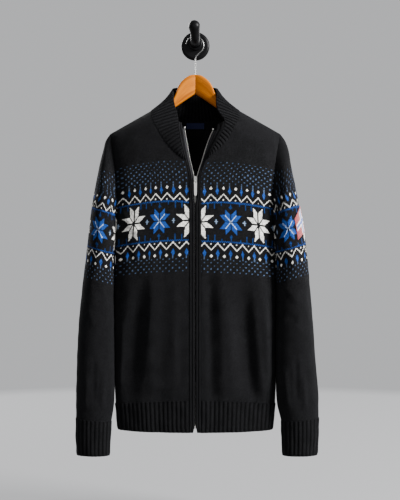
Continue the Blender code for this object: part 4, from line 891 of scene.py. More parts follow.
# %% [markdown]
# Stockinette shows a column of small Vs. In stitch widths u and rows v, the two legs of a V are
# the humps of |sin 2 pi u|, and their slant comes from |sin pi(v + a)|, where a runs from 0 at
# the middle of a stitch to 1/2 at its edges. Wool also has a halo of loose fibres: a little
# sheen, and a soft mottling of the dye. The gaps between the stitches are painted darker, as
# painted shade.
# %% Wool finishes
def stitch_height(tree, across, down):
    """The height of knitting over a place on the flat cloth, 0 to 1.3."""
    u = maths(tree, "DIVIDE", across, STITCH)
    v = maths(tree, "DIVIDE", down, COURSE)
    legs = maths(tree, "ABSOLUTE", wave(tree, u, 1.0))
    a = maths(tree, "ABSOLUTE", maths(tree, "SUBTRACT", maths(tree, "FRACT", u), 0.5))
    rows = maths(tree, "ABSOLUTE", wave(tree, maths(tree, "ADD", v, a), 2.0))
    return times(tree, maths(tree, "SQRT", legs), maths(tree, "ADD", 0.3, rows))


def wool(name):
    """Knitted wool in the colours painted on its points (on ribbing these hold painted shade in the
    furrows), made darker in the gaps between stitches as painted shade.
    """
    finish, tree, shader = new_finish(
        name, 0.85, Sheen_Weight=0.010, Sheen_Roughness=0.5, Specular_IOR_Level=0.03,
        Sheen_Tint=(0.75, 0.78, 0.85, 1.0),
    )
    _, across, down = on_cloth(tree)
    place = in_space(tree)
    patches = scaled(tree, noise(tree, place, 45.0, 3.0), 0.5, 0.45)
    fibres = scaled(tree, noise(tree, place, 900.0, 1.0), 0.9, 0.80)
    flecks = scaled(tree, noise(tree, place, 330.0, 1.0), 1.5, 0.25)
    height = stitch_height(tree, across, down)
    # painted shade: the colour is darker in the gaps between the stitches than on their tops
    stitch_gap_shade = scaled(tree, height, 0.45, 0.65)
    shade = times(tree, times(tree, patches, fibres), times(tree, flecks, stitch_gap_shade))
    tint(tree, shader, yarn_of(tree), shade)
    fuzzy = maths(tree, "ADD", height, times(tree, noise(tree, place, 1400.0, 1.0), 0.7))
    raise_by(tree, shader, fuzzy, 0.0010, 0.8)
    return finish


KNIT_FINISH = wool("charcoal knit with the band")
RIB_FINISH = wool("charcoal rib")


def furrowed(height):
    """Yarn colours of ribbing: the furrows lie in their own shade, so they are darker."""
    return np.array(CHARCOAL) * (0.25 + 0.85 * np.clip(height, 0.0, 1.0))[..., None]


print("two wool finishes")


# %% [markdown]
# The fronts and the back are the largest sheets. Their columns follow the columns of stitches
# and their rows the knitted rows, two to a stitch, so a star has clean stepped edges. Above the
# band the rows lead up to the neck seam and the shoulder. From there a column belongs to one
# column of stitches all the way down.
# %% Places on the body, row by row
STAR_Z = {1: -0.4012, -1: -0.3985}
HALF_STITCHES = 72.5
BAND_STITCHES = 5.5
BAND_HALF = 58 * STITCH
FIRST_DART = {1: 9.2, -1: 8.3}
DART_X = {
    1: (0.0351, 0.0626, 0.0887, 0.1144, 0.1380, 0.1637),
    -1: (0.0340, 0.0623, 0.0862, 0.1079, 0.1310, 0.1551),
}

def middle_height(down, front):
    side_z = side_edge(down, front)[2]
    return side_z + through(BODY, "droop", side_z)


def level_of(height, front):
    """The level whose middle has this height, read from a fine list of levels."""
    levels = np.linspace(0.0, 3.0, 6001)
    return float(np.interp(-height, -middle_height(levels, front), levels))


def level_row(level, front, side):
    """Even shares of one row of the body, the row's points, and the length along it at each."""
    share = np.linspace(0.0, 1.0, 2001)
    start = float(band_across(np.array([level]), 0.0, side)[0]) if front else 0.0
    row = body(start + (1 - start) * share, np.full(2001, level), front, side)
    return share, row, run_along(row[:, :2])


def stitch_columns(count, front, side):
    """Shares of the stars' row and the stitches there, even in stitches, out to the side."""
    share, row, far = level_row(level_of(STAR_Z[side], front), front, side)
    stitches = far / far[-1] * (HALF_STITCHES + BAND_STITCHES)
    if front:
        x = np.abs(row[:, 0])
        known = [0.0, *(FIRST_DART[side] + DART_PITCH * np.arange(6)), HALF_STITCHES]
        by_dart = np.interp(x, [x[0], *DART_X[side], x[-1] + 1e-4], known)
        stitches = 0.75 * by_dart + 0.25 * far / far[-1] * by_dart[-1]
    wanted = np.linspace(0.0, stitches[-1], count)
    return np.interp(wanted, stitches, share), wanted


def panel_grid(share, levels, front, side):
    """(across, down) for a panel: levels run 0 to 1 down to the band's top line, then 1 to 2.

    down = top + (line - top) level above the line, and columns slide from their places on the
    neck seam and the shoulder to their shares of the row as they come down to it.
    """
    share = share[None, :]
    levels = levels[:, None]
    line = level_of(STAR_Z[side] + BAND_HALF, front)
    neck = np.minimum(share / 0.5, 1.0)
    around = neck * NECK_POINT if front else 1 - neck * (1 - NECK_POINT)
    neck_across, neck_down, _ = neck_seam(around, side)
    shoulder = np.clip((share - 0.5) / 0.5, 0.0, 1.0)
    point = across_at(through(tables(side)[1], "seam_x", NECK_POINT) / TIP_X)
    top_across = np.where(share < 0.5, neck_across, point + (1 - point) * shoulder)
    top_down = np.where(share < 0.5, neck_down, 0.0)
    upper = np.clip(levels, 0.0, 1.0)
    lower = np.clip(levels - 1, 0.0, 1.0)
    down = top_down + (line - top_down) * upper
    down = np.where(levels > 1, line + (2 - line) * lower, down)
    start = band_across(down, top_down[:, :1], side) if front else np.zeros_like(down)
    top_share = (top_across - start[:1]) / (1 - start[:1])
    mixed = top_share + (share - top_share) * smooth(upper)
    mixed = np.where(share == 0, 0.0, mixed)
    return start + (1 - start) * mixed, down


def flat_places(points, down, stitches, row_of_line, front, side):
    """Stitches across and down from the stars' line, and with them the UV in metres."""
    star_z = STAR_Z[side]
    line_points = points[row_of_line]
    across = np.broadcast_to(stitches, points.shape[:2]).copy()
    by_x = np.interp(np.abs(points[..., 0]), np.abs(line_points[:, 0]), stitches)
    above = np.arange(len(points))[:, None] < row_of_line
    across = np.where(above, by_x, across)
    fall = (star_z - middle_height(down, front)) / STITCH
    line_z = np.interp(np.abs(points[..., 0]), np.abs(line_points[:, 0]), line_points[:, 2])
    line_fall = (star_z - middle_height(down[row_of_line, :1], front)) / STITCH
    fall = np.where(above, line_fall - (points[..., 2] - line_z) / STITCH, fall)
    return across, fall


def band_dip(across, fall):
    """Near the zip the rows above the stars hang up to two stitches lower."""
    return 2.3 * np.exp(-across / 11.0) * smooth((12 - fall) / 26.0)


print("star row at level", round(level_of(STAR_Z[1], True), 3))

# %% [markdown]
# Long folds are part of the form. On top of them lie small creases: pulls that run from the
# armhole, slight bulges over the ribs and a fine unevenness, each a soft trough or ridge along a
# line with its own width and height.
# %% Small creases
FRONT_CREASES = table(
    "top_x top_z end_x end_z width height",
    (0.170, -0.375, 0.115, -0.455, 0.012, 0.0022),
    (0.172, -0.410, 0.128, -0.520, 0.011, -0.0018),
    (0.060, -0.480, 0.064, -0.840, 0.044, 0.0050),
    (0.146, -0.500, 0.152, -0.840, 0.034, 0.0045),
    (0.150, -0.560, 0.163, -0.780, 0.012, 0.0022),
    (-0.168, -0.370, -0.118, -0.440, 0.012, 0.0020),
    (-0.170, -0.405, -0.130, -0.505, 0.011, -0.0018),
    (-0.070, -0.480, -0.074, -0.840, 0.046, 0.0050),
    (-0.046, -0.600, -0.040, -0.790, 0.014, 0.0008),
    (-0.158, -0.600, -0.166, -0.785, 0.011, 0.0020),
    (0.020, -0.290, 0.050, -0.420, 0.012, -0.0012),
    (-0.020, -0.290, -0.052, -0.410, 0.012, -0.0012),
)
BACK_CREASES = table(
    "top_x top_z end_x end_z width height",
    (0.165, -0.380, 0.110, -0.480, 0.014, 0.0022),
    (0.168, -0.430, 0.135, -0.560, 0.012, -0.0018),
    (-0.165, -0.375, -0.112, -0.470, 0.014, 0.0022),
    (-0.168, -0.430, -0.138, -0.555, 0.012, -0.0018),
    (0.040, -0.600, 0.052, -0.790, 0.016, 0.0022),
    (-0.050, -0.580, -0.060, -0.790, 0.016, 0.0022),
    (0.145, -0.600, 0.155, -0.785, 0.012, 0.0022),
    (-0.142, -0.610, -0.156, -0.785, 0.012, 0.0022),
)


def creased(x, z, rows):
    """The sum of soft ridges: height x (1 - s) with s the smoothed distance over the width."""
    total = np.zeros(x.shape)
    for row in rows:
        along = np.array([row.end_x - row.top_x, row.end_z - row.top_z])
        length = np.hypot(*along)
        way = along / length
        run = ((x - row.top_x) * way[0] + (z - row.top_z) * way[1]) / length
        beside = (x - row.top_x) * way[1] - (z - row.top_z) * way[0]
        fade = smooth(run / 0.25) * smooth((1 - run) / 0.25)
        total += row.height * (1 - smooth(np.abs(beside) / row.width)) * fade
    return total


def uneven(x, z, seed):
    """A fine unevenness of the cloth: six slow waves in different ways, 0.3 mm high."""
    draw = np.random.default_rng(seed)
    total = np.zeros(np.broadcast(x, z).shape)
    for _ in range(6):
        angle, length = draw.uniform(0, np.pi), draw.uniform(0.02, 0.06)
        phase = draw.uniform(0, 6.28)
        total += np.sin(2 * np.pi * (x * np.cos(angle) + z * np.sin(angle)) / length + phase)
    return 0.00012 * total


print(len(FRONT_CREASES) + len(BACK_CREASES), "creases")

# %% [markdown]
# Now the panels themselves. The outer grid is the form plus its creases, moved along the cloth's
# own inward ways, and it goes back to the plain form at every seam, so that neighbours meet.
# %% The fronts and the back
FRONT_COLUMNS = 145
BACK_HALF = 121
FRONT_ROW = 0.00095
BACK_ROW = 0.00115
UPPER_LEVELS = np.linspace(0.0, 1.0, 29)
SEAM_REACH = 0.03
ALL_SEAMS = ("top", "foot", "start", "end")


def panel_levels(front, side):
    """Levels: a few above the band, two rows a stitch through it, then wider ones to the hem."""
    line = level_of(STAR_Z[side] + BAND_HALF, front)
    end = level_of(STAR_Z[side] - BAND_HALF, front)
    end_level = 1 + (end - line) / (2 - line)
    rows = int(2 * BAND_HALF / (FRONT_ROW if front else BACK_ROW) / THIN) * THIN
    through_band = np.linspace(1.0, end_level, rows + 1)
    below = np.linspace(end_level, 2.0, 81)
    return np.concatenate([UPPER_LEVELS[:-1], through_band[:-1], below])


def away_from_seams(shape, front):
    """0 on the seams of a grid and 1 inside; the middle of the back is no seam."""
    rows = np.linspace(0, 1, shape[0])[:, None]
    columns = np.linspace(0, 1, shape[1])
    fade = smooth(rows / SEAM_REACH) * smooth((1 - rows) / SEAM_REACH)
    fade = fade * smooth((1 - columns) / SEAM_REACH)
    return fade * smooth(columns / SEAM_REACH) if front else fade


def eased(ways, border_way, far, reach):
    """Ways into the cloth that turn softly into the way shared at a border."""
    share = smooth(far / reach)[..., None]
    return unit(border_way * (1 - share) + ways * share)


def shared_ways(points, across, down, front, side):
    """The body's inward ways, straight back at the band and square to the loop at the armhole."""
    inner_share = np.minimum(across, 1 - 1e-5)
    ways = body_inward(inner_share, down, front, side)
    turn = np.pi * np.clip(down, 0.0, 1.0) * (1 if front else -1)
    to_side = np.abs(points[:, -1:, 0] - points[..., 0])
    arm = eased(ways, armhole_inward(turn), to_side, 0.012)
    ways = np.where((down < 1)[..., None], arm, ways)
    if front:
        from_band = np.abs(points[..., 0] - points[:, :1, 0])
        ways = eased(ways, np.array([0.0, 1.0, 0.0]), from_band, 0.010)
    return ways


def half_sheet(front, side):
    """One half of the body's cloth: points, inward ways, UV and yarn."""
    share, stitches = stitch_columns(FRONT_COLUMNS if front else BACK_HALF, front, side)
    across, down = panel_grid(share, panel_levels(front, side), front, side)
    points = body(across, down, front, side)
    ways = shared_ways(points, across, down, front, side)
    stitch, fall = flat_places(points, down, stitches, len(UPPER_LEVELS) - 1, front, side)
    dip = band_dip(stitch, fall) if front else 0.0
    star_at, dart_at = (-0.6, FIRST_DART[side]) if front else (0.0, DART_PITCH / 2)
    yarn = chart(stitch + 0.25, fall - dip + 0.2, star_at, dart_at)
    creases = creased(points[..., 0], points[..., 2], FRONT_CREASES if front else BACK_CREASES)
    bulge = creases + uneven(points[..., 0], points[..., 2], 3 + front)
    bulge = bulge * away_from_seams(bulge.shape, front)
    points = points - ways * bulge[..., None]
    return points, ways, np.stack([side * stitch * STITCH, fall * STITCH], axis=-1), yarn


def put_pair(stem, slot, finish, sheet, thick, seams, around=False):
    """The left and the right piece of a kind: sheet(side) gives face, inward ways, UV and yarn."""
    for side, label in SIDES:
        face, ways, flat, yarn = sheet(side)
        cloth(stem + label, slot, finish, *wall(face, ways, thick, *seams), flat, yarn, around)


def put_back(node, slot, finish, half, thick, seams):
    """A piece right across the back: its right half turned round, then its left half."""
    pairs = zip(half(-1), half(1))
    face, ways, flat, yarn = (np.concatenate([one[:, :0:-1], two], axis=1) for one, two in pairs)
    cloth(node, slot, finish, *wall(face, ways, thick, *seams), flat, yarn)


def front_sheet(side):
    return half_sheet(True, side)


def back_sheet(side):
    return half_sheet(False, side)


put_pair("front_", "knit", KNIT_FINISH, front_sheet, KNIT, ("top", "foot", "end"))
put_back("back", "knit", KNIT_FINISH, back_sheet, KNIT, ALL_SEAMS)

# %% [markdown]
# A sleeve is a slanting tube. Its stitches run from the middle of its front, where a blue star
# sits, round to the seam under the arm, and its rows slant upwards away from the body because the
# sleeve was sewn on at an angle and then hangs down.
# %% The sleeves
SLEEVE_COLUMNS = 208
SLEEVE_ALONG = np.append(np.linspace(0.0, 0.60, 245)[:-1], np.linspace(0.60, 1.0, 69))
SLEEVE_STAR = {1: (0.2036, -0.4180), -1: (0.2119, -0.4190)}
SLEEVE_STITCH = 0.0020
TOWARDS_BODY = {1: 0.0048, -1: 0.0031}
LOW_TOWARDS_BODY = 0.0018
CLOSING_FROM_Z = -0.385
LOW_FROM_Z = -0.56
ROW_SLANT = np.tan(np.radians(17.0))
SLEEVE_CREASES = table(
    "top_x top_z end_x end_z width height",
    (0.185, -0.430, 0.222, -0.505, 0.014, 0.0014),
    (0.186, -0.470, 0.226, -0.560, 0.014, -0.0010),
    (0.190, -0.540, 0.238, -0.590, 0.013, 0.0010),
    (0.194, -0.600, 0.250, -0.640, 0.014, -0.0008),
    (0.246, -0.560, 0.215, -0.640, 0.012, 0.0010),
    (0.200, -0.720, 0.206, -0.815, 0.009, 0.0016),
    (0.236, -0.730, 0.240, -0.818, 0.010, 0.0016),
    (0.220, -0.690, 0.222, -0.800, 0.008, -0.0012),
)


def sleeve_stitches(points):
    """Stitches round the sleeve from the middle of its front, along a level slice at each height.

    Each column is read at the same heights, the level steps between neighbours are added up, and
    the sums are read back at the column's own heights.
    """
    heights = np.linspace(-0.20, -0.86, 331)
    columns = range(points.shape[1])
    x, y = (
        closed(np.stack(
            [np.interp(-heights, -points[:, k, 2], points[:, k, axis]) for k in columns], axis=1
        )) for axis in (0, 1)
    )
    far = np.zeros(x.shape)
    far[:, 1:] = np.cumsum(np.hypot(np.diff(x, axis=1), np.diff(y, axis=1)), axis=1)
    far = (far - far[:, len(columns) // 4, None]) / STITCH
    falls = [-points[:, k, 2] for k in (*columns, 0)]
    return np.stack([np.interp(fall, -heights, far[:, k]) for k, fall in enumerate(falls)], axis=1)


def sleeve_sheet(side):
    """A sleeve's points, inward ways, UV and yarn; its columns go once round from the seam."""
    turn, along = np.meshgrid(np.pi - full_turn(SLEEVE_COLUMNS), SLEEVE_ALONG)
    points = sleeve(turn, along, side)
    ways = sleeve_inward(turn, np.maximum(along, 2 * STEP), side)
    from_seam = np.linalg.norm(points - points[:1], axis=-1)
    ways = eased(ways, armhole_inward(turn), from_seam, 0.012)
    around = sleeve_stitches(points)
    star_x, star_z = SLEEVE_STAR[side]
    half = SLEEVE_COLUMNS // 2
    front = points[:, :half]
    away = (np.abs(front[..., 0]) - star_x) ** 2 + (front[..., 2] - star_z) ** 2
    around = around - around[:, :half].ravel()[np.argmin(away)]
    full = closed(points)
    fall = (star_z + ROW_SLANT * (np.abs(full[..., 0]) - star_x) - full[..., 2]) / STITCH
    stitch = around[:, :-1] * STITCH / SLEEVE_STITCH
    yarn = chart(stitch + 0.5, fall[:, :-1] + 0.2, STAR_PITCH, 0.0)
    on_front = smooth((np.sin(turn) + 0.15) / 0.3)
    x, y, z = np.moveaxis(points, -1, 0)
    bulge = creased(np.abs(x), z, SLEEVE_CREASES) * (0.4 + 0.6 * on_front)
    bulge = bulge + uneven(x + 0.5 * y, z, 11)
    fade = smooth(along / 0.06) * smooth((1 - along) / 0.04)
    points = points - ways * (bulge * fade)[..., None]
    z = points[..., 2]
    beside = smooth(-np.cos(turn)) * smooth((CLOSING_FROM_Z - z) / 0.03) * smooth((1 - along) / 0.1)
    nearer = TOWARDS_BODY[side] + LOW_TOWARDS_BODY * smooth((LOW_FROM_Z - z) / 0.1)
    points[..., 0] -= side * nearer * beside
    return points, ways, np.stack([around * STITCH, fall * STITCH], axis=-1), yarn


put_pair("sleeve_", "knit", KNIT_FINISH, sleeve_sheet, KNIT, ("foot",), around=True)


# %% [markdown]
# The edges of the cardigan are ribbed: columns of knit stitches stand up between sunk ones. A rib
# is a rounded wave across the cloth, 9.5 mm wide at the hem, 8.8 mm at the cuffs and 8.4 mm on
# the collar, and it runs straight out of the seam. The wave only lifts the outside, so the inside
# stays within its wall.
# %% Hem ribs and cuffs
RIB_HIGH = 0.0013
RIB_END_DROP = 0.0012
HEM_PITCH = 0.0095
CUFF_PITCH = 0.0088
CUFF_LONG = 0.085
RIB_POINTS = 8
HEM_MEASURED_AT = 2.4
HEM_LEVELS = np.linspace(2.0, 3.0, 29)
CUFF_LEVELS = np.linspace(1.0, 2.0, 37)


def rib_wave(far, pitch):
    """Height of a rib, 0 in the furrow and 1 on top: the square root of a raised cosine."""
    return np.sqrt(np.maximum(0.5 - 0.5 * np.cos(2 * np.pi * far / pitch), 0.0))


def whole_ribs(share, far, pitch):
    """Shares even along a line, eight to a rib; the length at each; and the ribs' true width."""
    ribs = round(far[-1] / pitch)
    wanted = np.linspace(0.0, far[-1], ribs * RIB_POINTS + 1)
    return np.interp(wanted, far, share), wanted, far[-1] / ribs


def half_hem(front, side):
    """One half of the hem; in front its edge reaches under the band near the foot."""
    share, _, far = level_row(HEM_MEASURED_AT, front, side)
    share, far, pitch = whole_ribs(share, far, HEM_PITCH)
    down = HEM_LEVELS[:, None] + 0 * share
    start = band_across(down, 0.0, side) - 0.005 * smooth((down - 2.8) / 0.15) if front else 0.0
    across = start + (1 - start) * share
    points = body(across, down, front, side)
    ways = shared_ways(points, across, down, front, side)
    rib = rib_wave(far + (0.0 if front else pitch / 2), pitch) + 0 * down
    lift = RIB_HIGH * rib - RIB_END_DROP * smooth((down - 2.9) / 0.1)
    lift = lift + 1.2 * uneven(points[..., 0], points[..., 2], 23) * smooth((down - 2) / 0.2)
    flat = spread(side * far, HEM_END_SIDE_Z - points[..., 2])
    return points - ways * lift[..., None], ways, flat, furrowed(rib)


def cuff_sheet(side):
    """A cuff: its columns lie evenly round the middle ring."""
    turn = np.linspace(np.pi, -np.pi, 2001)
    ring = sleeve(turn, 1.5, side)
    turn, far, pitch = whole_ribs(turn, run_along(ring[:, :2]), CUFF_PITCH)
    turn, along = np.meshgrid(turn[:-1], CUFF_LEVELS)
    points, ways = sleeve(turn, along, side), sleeve_inward(turn, along, side)
    rib = rib_wave(far[:-1], pitch) + 0 * along
    lift = RIB_HIGH * rib - RIB_END_DROP * smooth((along - 1.92) / 0.08)
    lift = lift + 1.5 * uneven(points[..., 0], points[..., 2], 31) * smooth((along - 1) / 0.2)
    flat = spread(far, CUFF_LONG * CUFF_LEVELS[:, None])
    return points - ways * lift[..., None], ways, flat, furrowed(rib)


put_pair("hem_front_", "rib", RIB_FINISH, lambda side: half_hem(True, side), RIB, ("top", "end"))
put_back(
    "hem_back", "rib", RIB_FINISH, lambda side: half_hem(False, side), RIB, ("top", "start", "end")
)
put_pair("cuff_", "rib", RIB_FINISH, cuff_sheet, RIB, ("top",), around=True)

# %% [markdown]
# The collar stands from the neck seam. Its ribs run from the seam to the top, where the doubled
# cloth turns over in a soft round edge. In front it ends against the bands of the open zip, and
# there the round fades out so that collar and band meet edge to edge.
# %% The collar
COLLAR_PITCH = 0.0084
COLLAR_RIB_HIGH = 0.0018
SWELL = 0.0012
EDGE_BEND = 0.0003
FOOT_TUCK = 0.0025
ROUND_STEP = 0.0006
MAIN_ROWS = 25
ROUND_ROWS = 8


def either(in_front, formula, across, down, side):
    """A formula's value on the front where in_front holds, and on the back elsewhere."""
    front, back = (formula(across, down, on_front, side) for on_front in (True, False))
    return np.where(in_front[..., None], front, back)


def collar_line(around, side):
    """The foot of the collar on the neck seam, its top edge, and the body's inward way there."""
    edge, collar = tables(side)
    across, down, in_front = neck_seam(around, side)
    foot = either(in_front, body, across, down, side)
    way = either(in_front, body_inward, across, np.maximum(down, 2 * STEP), side)
    top = spread(*(through(collar, name, around) for name in ("top_x", "top_y", "top_z")))
    top[..., 0] *= side
    on_band = edge_out(np.minimum(top[..., 2], edge[-1].z), side)
    on_band[..., 0] += side * SEAM
    top = np.where((around <= CORNER + 1e-6)[..., None], on_band, top)
    return foot, top, way


def collar_half(side):
    """Outer and inner grids of one half of the collar, its UV, and its yarn colour with painted
    shade in the rib furrows.
    """
    around = np.linspace(0.0, 1.0, 801)
    across, down, in_front = neck_seam(around, side)
    far = run_along(either(in_front, body, across, down, side))
    around, far, pitch = whole_ribs(around, far, COLLAR_PITCH)
    foot, top, way = collar_line(around, side)
    heights = np.linspace(0.0, 1.0, MAIN_ROWS)[:, None]
    rise = top - foot
    tall = np.linalg.norm(rise, axis=-1)
    rise = rise / tall[:, None]
    behind = smooth((around - CORNER) / 0.05)
    bend = EDGE_BEND + (0.46 * COLLAR_WALL - EDGE_BEND) * behind
    shorter = top - rise * bend[:, None]
    face = foot + (shorter - foot) * heights[..., None]
    swell = SWELL * np.sin(np.pi * heights) * smooth((0.9 - around) / NECK_POINT)
    face = face + swell[..., None] * (side, -1.0, 0.0)
    turn_in = unit(np.cross(np.gradient(face, axis=1), rise)) * side
    if np.sum(turn_in[:, around < CORNER, 1]) < 0:
        turn_in = -turn_in
    doubled = smooth(heights * 2.5)
    turn_in = unit(way * (1 - doubled[..., None]) + turn_in * doubled[..., None])
    from_corner = np.linalg.norm(face - face[:, :1], axis=-1)
    straight = np.array([0.0, 1.0, 0.0])
    turn_in = eased(turn_in, straight, from_corner, 0.010)
    from_top = np.linalg.norm(face - face[-1], axis=-1)
    turn_in = eased(turn_in, straight, np.maximum(from_top / 0.010, behind), 1.0)
    turn_in[:, -1, 0] = 0.0
    turn_in = unit(turn_in)
    thick = (KNIT + (COLLAR_WALL - KNIT) * doubled)[..., None]
    rib = rib_wave(far, pitch)
    clear = smooth(from_corner / 0.004) * smooth((heights + 0.02) / 0.1)
    clear = clear * np.maximum(behind, smooth((1 - heights) / 0.06))
    lift = (COLLAR_RIB_HIGH * (rib - 0.45) * clear)[..., None]
    angle = np.linspace(0.0, np.pi / 2, ROUND_ROWS + 1)[1:, None, None]
    over_in, over_up = bend[:, None] * (1 - np.cos(angle)), bend[:, None] * np.sin(angle)
    ledge, last_way, last_lift = face[-1] + rise * over_up, turn_in[-1], lift[-1] * np.cos(angle)
    outer = np.concatenate([face - turn_in * lift, ledge + last_way * (over_in - last_lift)])
    inner = np.concatenate([
        face + turn_in * (thick + np.minimum(lift, 0.0)),
        ledge + last_way * (COLLAR_WALL - over_in + last_lift),
    ])
    drawn = draw_back(face[0], face[1]) - face[0]
    outer[0] += drawn
    inner[0] += drawn - FOOT_TUCK * rise
    over = ROUND_STEP * np.arange(1, ROUND_ROWS + 1)[:, None]
    up = np.concatenate([heights * tall, tall + over])
    return outer, inner, spread(side * (far - far[-1]), up), furrowed(rib + 0 * up)


halves = zip(collar_half(1), collar_half(-1))
cloth(
    "collar", "rib", RIB_FINISH,
    *(np.concatenate([one, two[:, -2::-1]], axis=1) for one, two in halves),
)

# %% [markdown]
# A narrow band is knitted along each front edge. Two raised ribs run down it, and its inner edge
# turns round towards the zip. A woven tape carries the teeth behind that edge.
# %% The front bands and the zip tapes
BAND_COLUMNS = 17
BAND_RIB = 0.0009


def band_sheet(side):
    """Outer and inner grids of a band, its UV, and its yarn colour with painted shade in the
    furrows; two ribs run down it.
    """
    edge = tables(side)[0]
    z = np.linspace(edge[0].z, edge[-1].z, 345)
    outer, (inner, _, way_in) = edge_out(z, side), edge_in(z, side)
    share = np.linspace(0.0, 1.0, BAND_COLUMNS)
    width = np.linalg.norm(inner - outer, axis=-1)
    points = outer[:, None] + (inner - outer)[:, None] * share[:, None]
    straight = np.array([0.0, 1.0, 0.0])
    ways = unit(straight + (way_in[:, None] - straight) * smooth(share)[:, None])
    two_ribs = np.abs(np.sin(2 * np.pi * share))
    turned_edge = 0.0011 * smooth((share - 0.82) / 0.18) ** 2
    lift = (BAND_RIB * two_ribs**0.8 * smooth(share / 0.1) - turned_edge)[:, None]
    face = points - ways * lift
    inside = face + ways * (BAND_WALL + np.minimum(lift, 0.0))
    flat = spread(side * width[:, None] * share, -z[:, None])
    return face, inside, flat, furrowed(two_ribs + 0 * z[:, None])


for side, label in SIDES:
    cloth("band_" + label, "rib", RIB_FINISH, *band_sheet(side))


def woven(name, colour):
    """Twill tape: fine slanting ribs and the grain of its threads, with painted shade in the
    grooves and painted light on the ridges.
    """
    finish, tree, shader = new_finish(name, 0.7, Specular_IOR_Level=0.2)
    _, across, along = on_cloth(tree)
    twill = wave(tree, maths(tree, "ADD", across, along), 0.0008)
    height = maths(tree, "MULTIPLY_ADD", wave(tree, along, 0.0005), 0.4, twill)
    # painted light and shade: the colour is darker in the twill's grooves and lighter on its ridges
    tint(tree, shader, colour, scaled(tree, height, 0.18, 0.95))
    raise_by(tree, shader, height, 0.0002, 0.6)
    return finish


TAPE_FINISH = woven("black twill tape", (0.012, 0.012, 0.014))
LABEL_FINISH = woven("dark blue woven label", (0.006, 0.009, 0.036))


def tape_sheet(side):
    """The front and back of a tape, from the teeth round to behind the band, and its UV."""
    z = np.linspace(ZIP_END_Z, ZIP_TOP_Z, 261)
    inner, across, way_in = edge_in(z, side)
    tooth = tooth_line(z, side)
    behind = inner + TAPE_BEHIND * way_in
    bend = behind + TAPE_BEND * across
    towards = unit(bend - tooth)
    reach = np.abs(towards) @ (TOOTH_WIDTH / 2, TOOTH_DEPTH / 2, 0.0)
    start = tooth + (reach[:, None] + TAPE_WALL / 2 + SEAM) * towards
    route = [start, start * 0.5 + bend * 0.5, bend, bend + (TAPE_REACH - TAPE_BEND) / 2 * across]
    face = np.stack([*route, behind + TAPE_REACH * across], axis=1)
    half = TAPE_WALL / 2 * way_in[:, None]
    steps = np.linalg.norm(np.diff(face, axis=1), axis=2).mean(axis=0)
    width = np.append(0.0, np.cumsum(steps))
    return face - half, face + half, spread(side * width, z[:, None])


for side, label in SIDES:
    cloth("tape_" + label, "tape", TAPE_FINISH, *tape_sheet(side))


# %% [markdown]
# Zip teeth are stamped metal blocks, one to every 1.6 mm of tape and set half a step apart on the
# two sides, so that they mesh. One block of 26 faces is copied along the tape as a single array.
# %% The rows of teeth
TOOTH_PITCH = 0.0016
TOOTH_TALL = 0.0010
TOOTH_LONG = 0.0021
ROUND_TOOTH = 0.0003
ROUND_STOP = 0.0004
TOOTH_MESH = 0.0004


def metal(name, colour, roughness, grain):
    """Metal with fine scratches: noise sets its roughness, tint and bump."""
    finish, tree, shader = new_finish(name, roughness, 1.0)
    marks = noise(tree, in_space(tree), grain, 4.0)
    tint(tree, shader, colour, scaled(tree, marks, 0.35, 0.80))
    tree.links.new(scaled(tree, marks, 0.25, roughness - 0.12), shader.inputs["Roughness"])
    raise_by(tree, shader, marks, 0.0001, 0.25)
    return finish


ZIP_FINISH = metal("silver zip metal", (0.58, 0.57, 0.55), 0.32, 1500.0)
# painted shade: the slider wears the zip's own metal made darker, so that it reads as shade behind
# the pull's eye
SHADED_SLIDER_FINISH = metal("zip metal darkened as shade", (0.34, 0.34, 0.33), 0.36, 900.0)
WIRE_FINISH = metal("bright hanger wire", (0.15, 0.15, 0.147), 0.32, 2500.0)


def loft(sections):
    """Faces of a closed tube through sections (n, k, 3), and its two end caps."""
    index = np.arange(sections[..., 0].size).reshape(sections.shape[:2])
    return squares(closed(index)), index[0][::-1][None], index[-1][None]


def from_front(points, faces):
    """Faces with the UV that they have when seen from the front, in metres."""
    return faces, points[faces][..., [0, 2]]


def block_sections(half_long, half_deep, half_tall, bevel):
    """Four rounded oblongs along X: full size in the middle, smaller by the bevel at both ends."""
    sizes = np.array([half_deep, half_tall])
    cuts = np.array([(0, bevel), (bevel, 0), (bevel, 0), (0, bevel)] * 2)
    ring = np.repeat([(1, 1), (-1, 1), (-1, -1), (1, -1)], 2, axis=0) * (sizes - cuts)
    small = ring * (1 - 0.7 * bevel / sizes)
    x = np.array([-half_long, bevel - half_long, half_long - bevel, half_long])
    rings = np.stack([small, ring, ring, small])
    return spread(x[:, None], rings[..., 0], rings[..., 1])


def put_copies(node, sections, places):
    """Copies of one lofted block at many places (n, 3)."""
    block = sections.reshape(-1, 3)
    points = (places[:, None] + block).reshape(-1, 3)
    shift = len(block) * np.arange(len(places))[:, None, None]
    many = [(group + shift).reshape(-1, group.shape[1]) for group in loft(sections)]
    sheets = [from_front(points, faces) for faces in many]
    put_mesh(node + "_metal", points, sheets, ZIP_FINISH, [node], sharp=60.0)


for side, label in SIDES:
    shift = 0.0 if side > 0 else TOOTH_PITCH / 2
    z = np.arange(ZIP_END_Z + TOOTH_TALL + shift, ZIP_TOP_Z - TOOTH_PITCH / 2, TOOTH_PITCH)
    closing = 1 - smooth((z - SLIDER_TOP_Z + 0.006) / 0.01)
    places = tooth_line(z, side)
    places[:, 0] -= side * TOOTH_MESH * closing
    sections = block_sections(TOOTH_LONG / 2, TOOTH_DEPTH / 2, TOOTH_TALL / 2, ROUND_TOOTH)
    put_copies("teeth_" + label, sections, places)
for node in ("stop_left", "stop_right", "zip_box"):
    low, high = (np.array(corner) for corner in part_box(node))
    put_copies(node, block_sections(*((high - low) / 2), ROUND_STOP), ((low + high) / 2)[None])

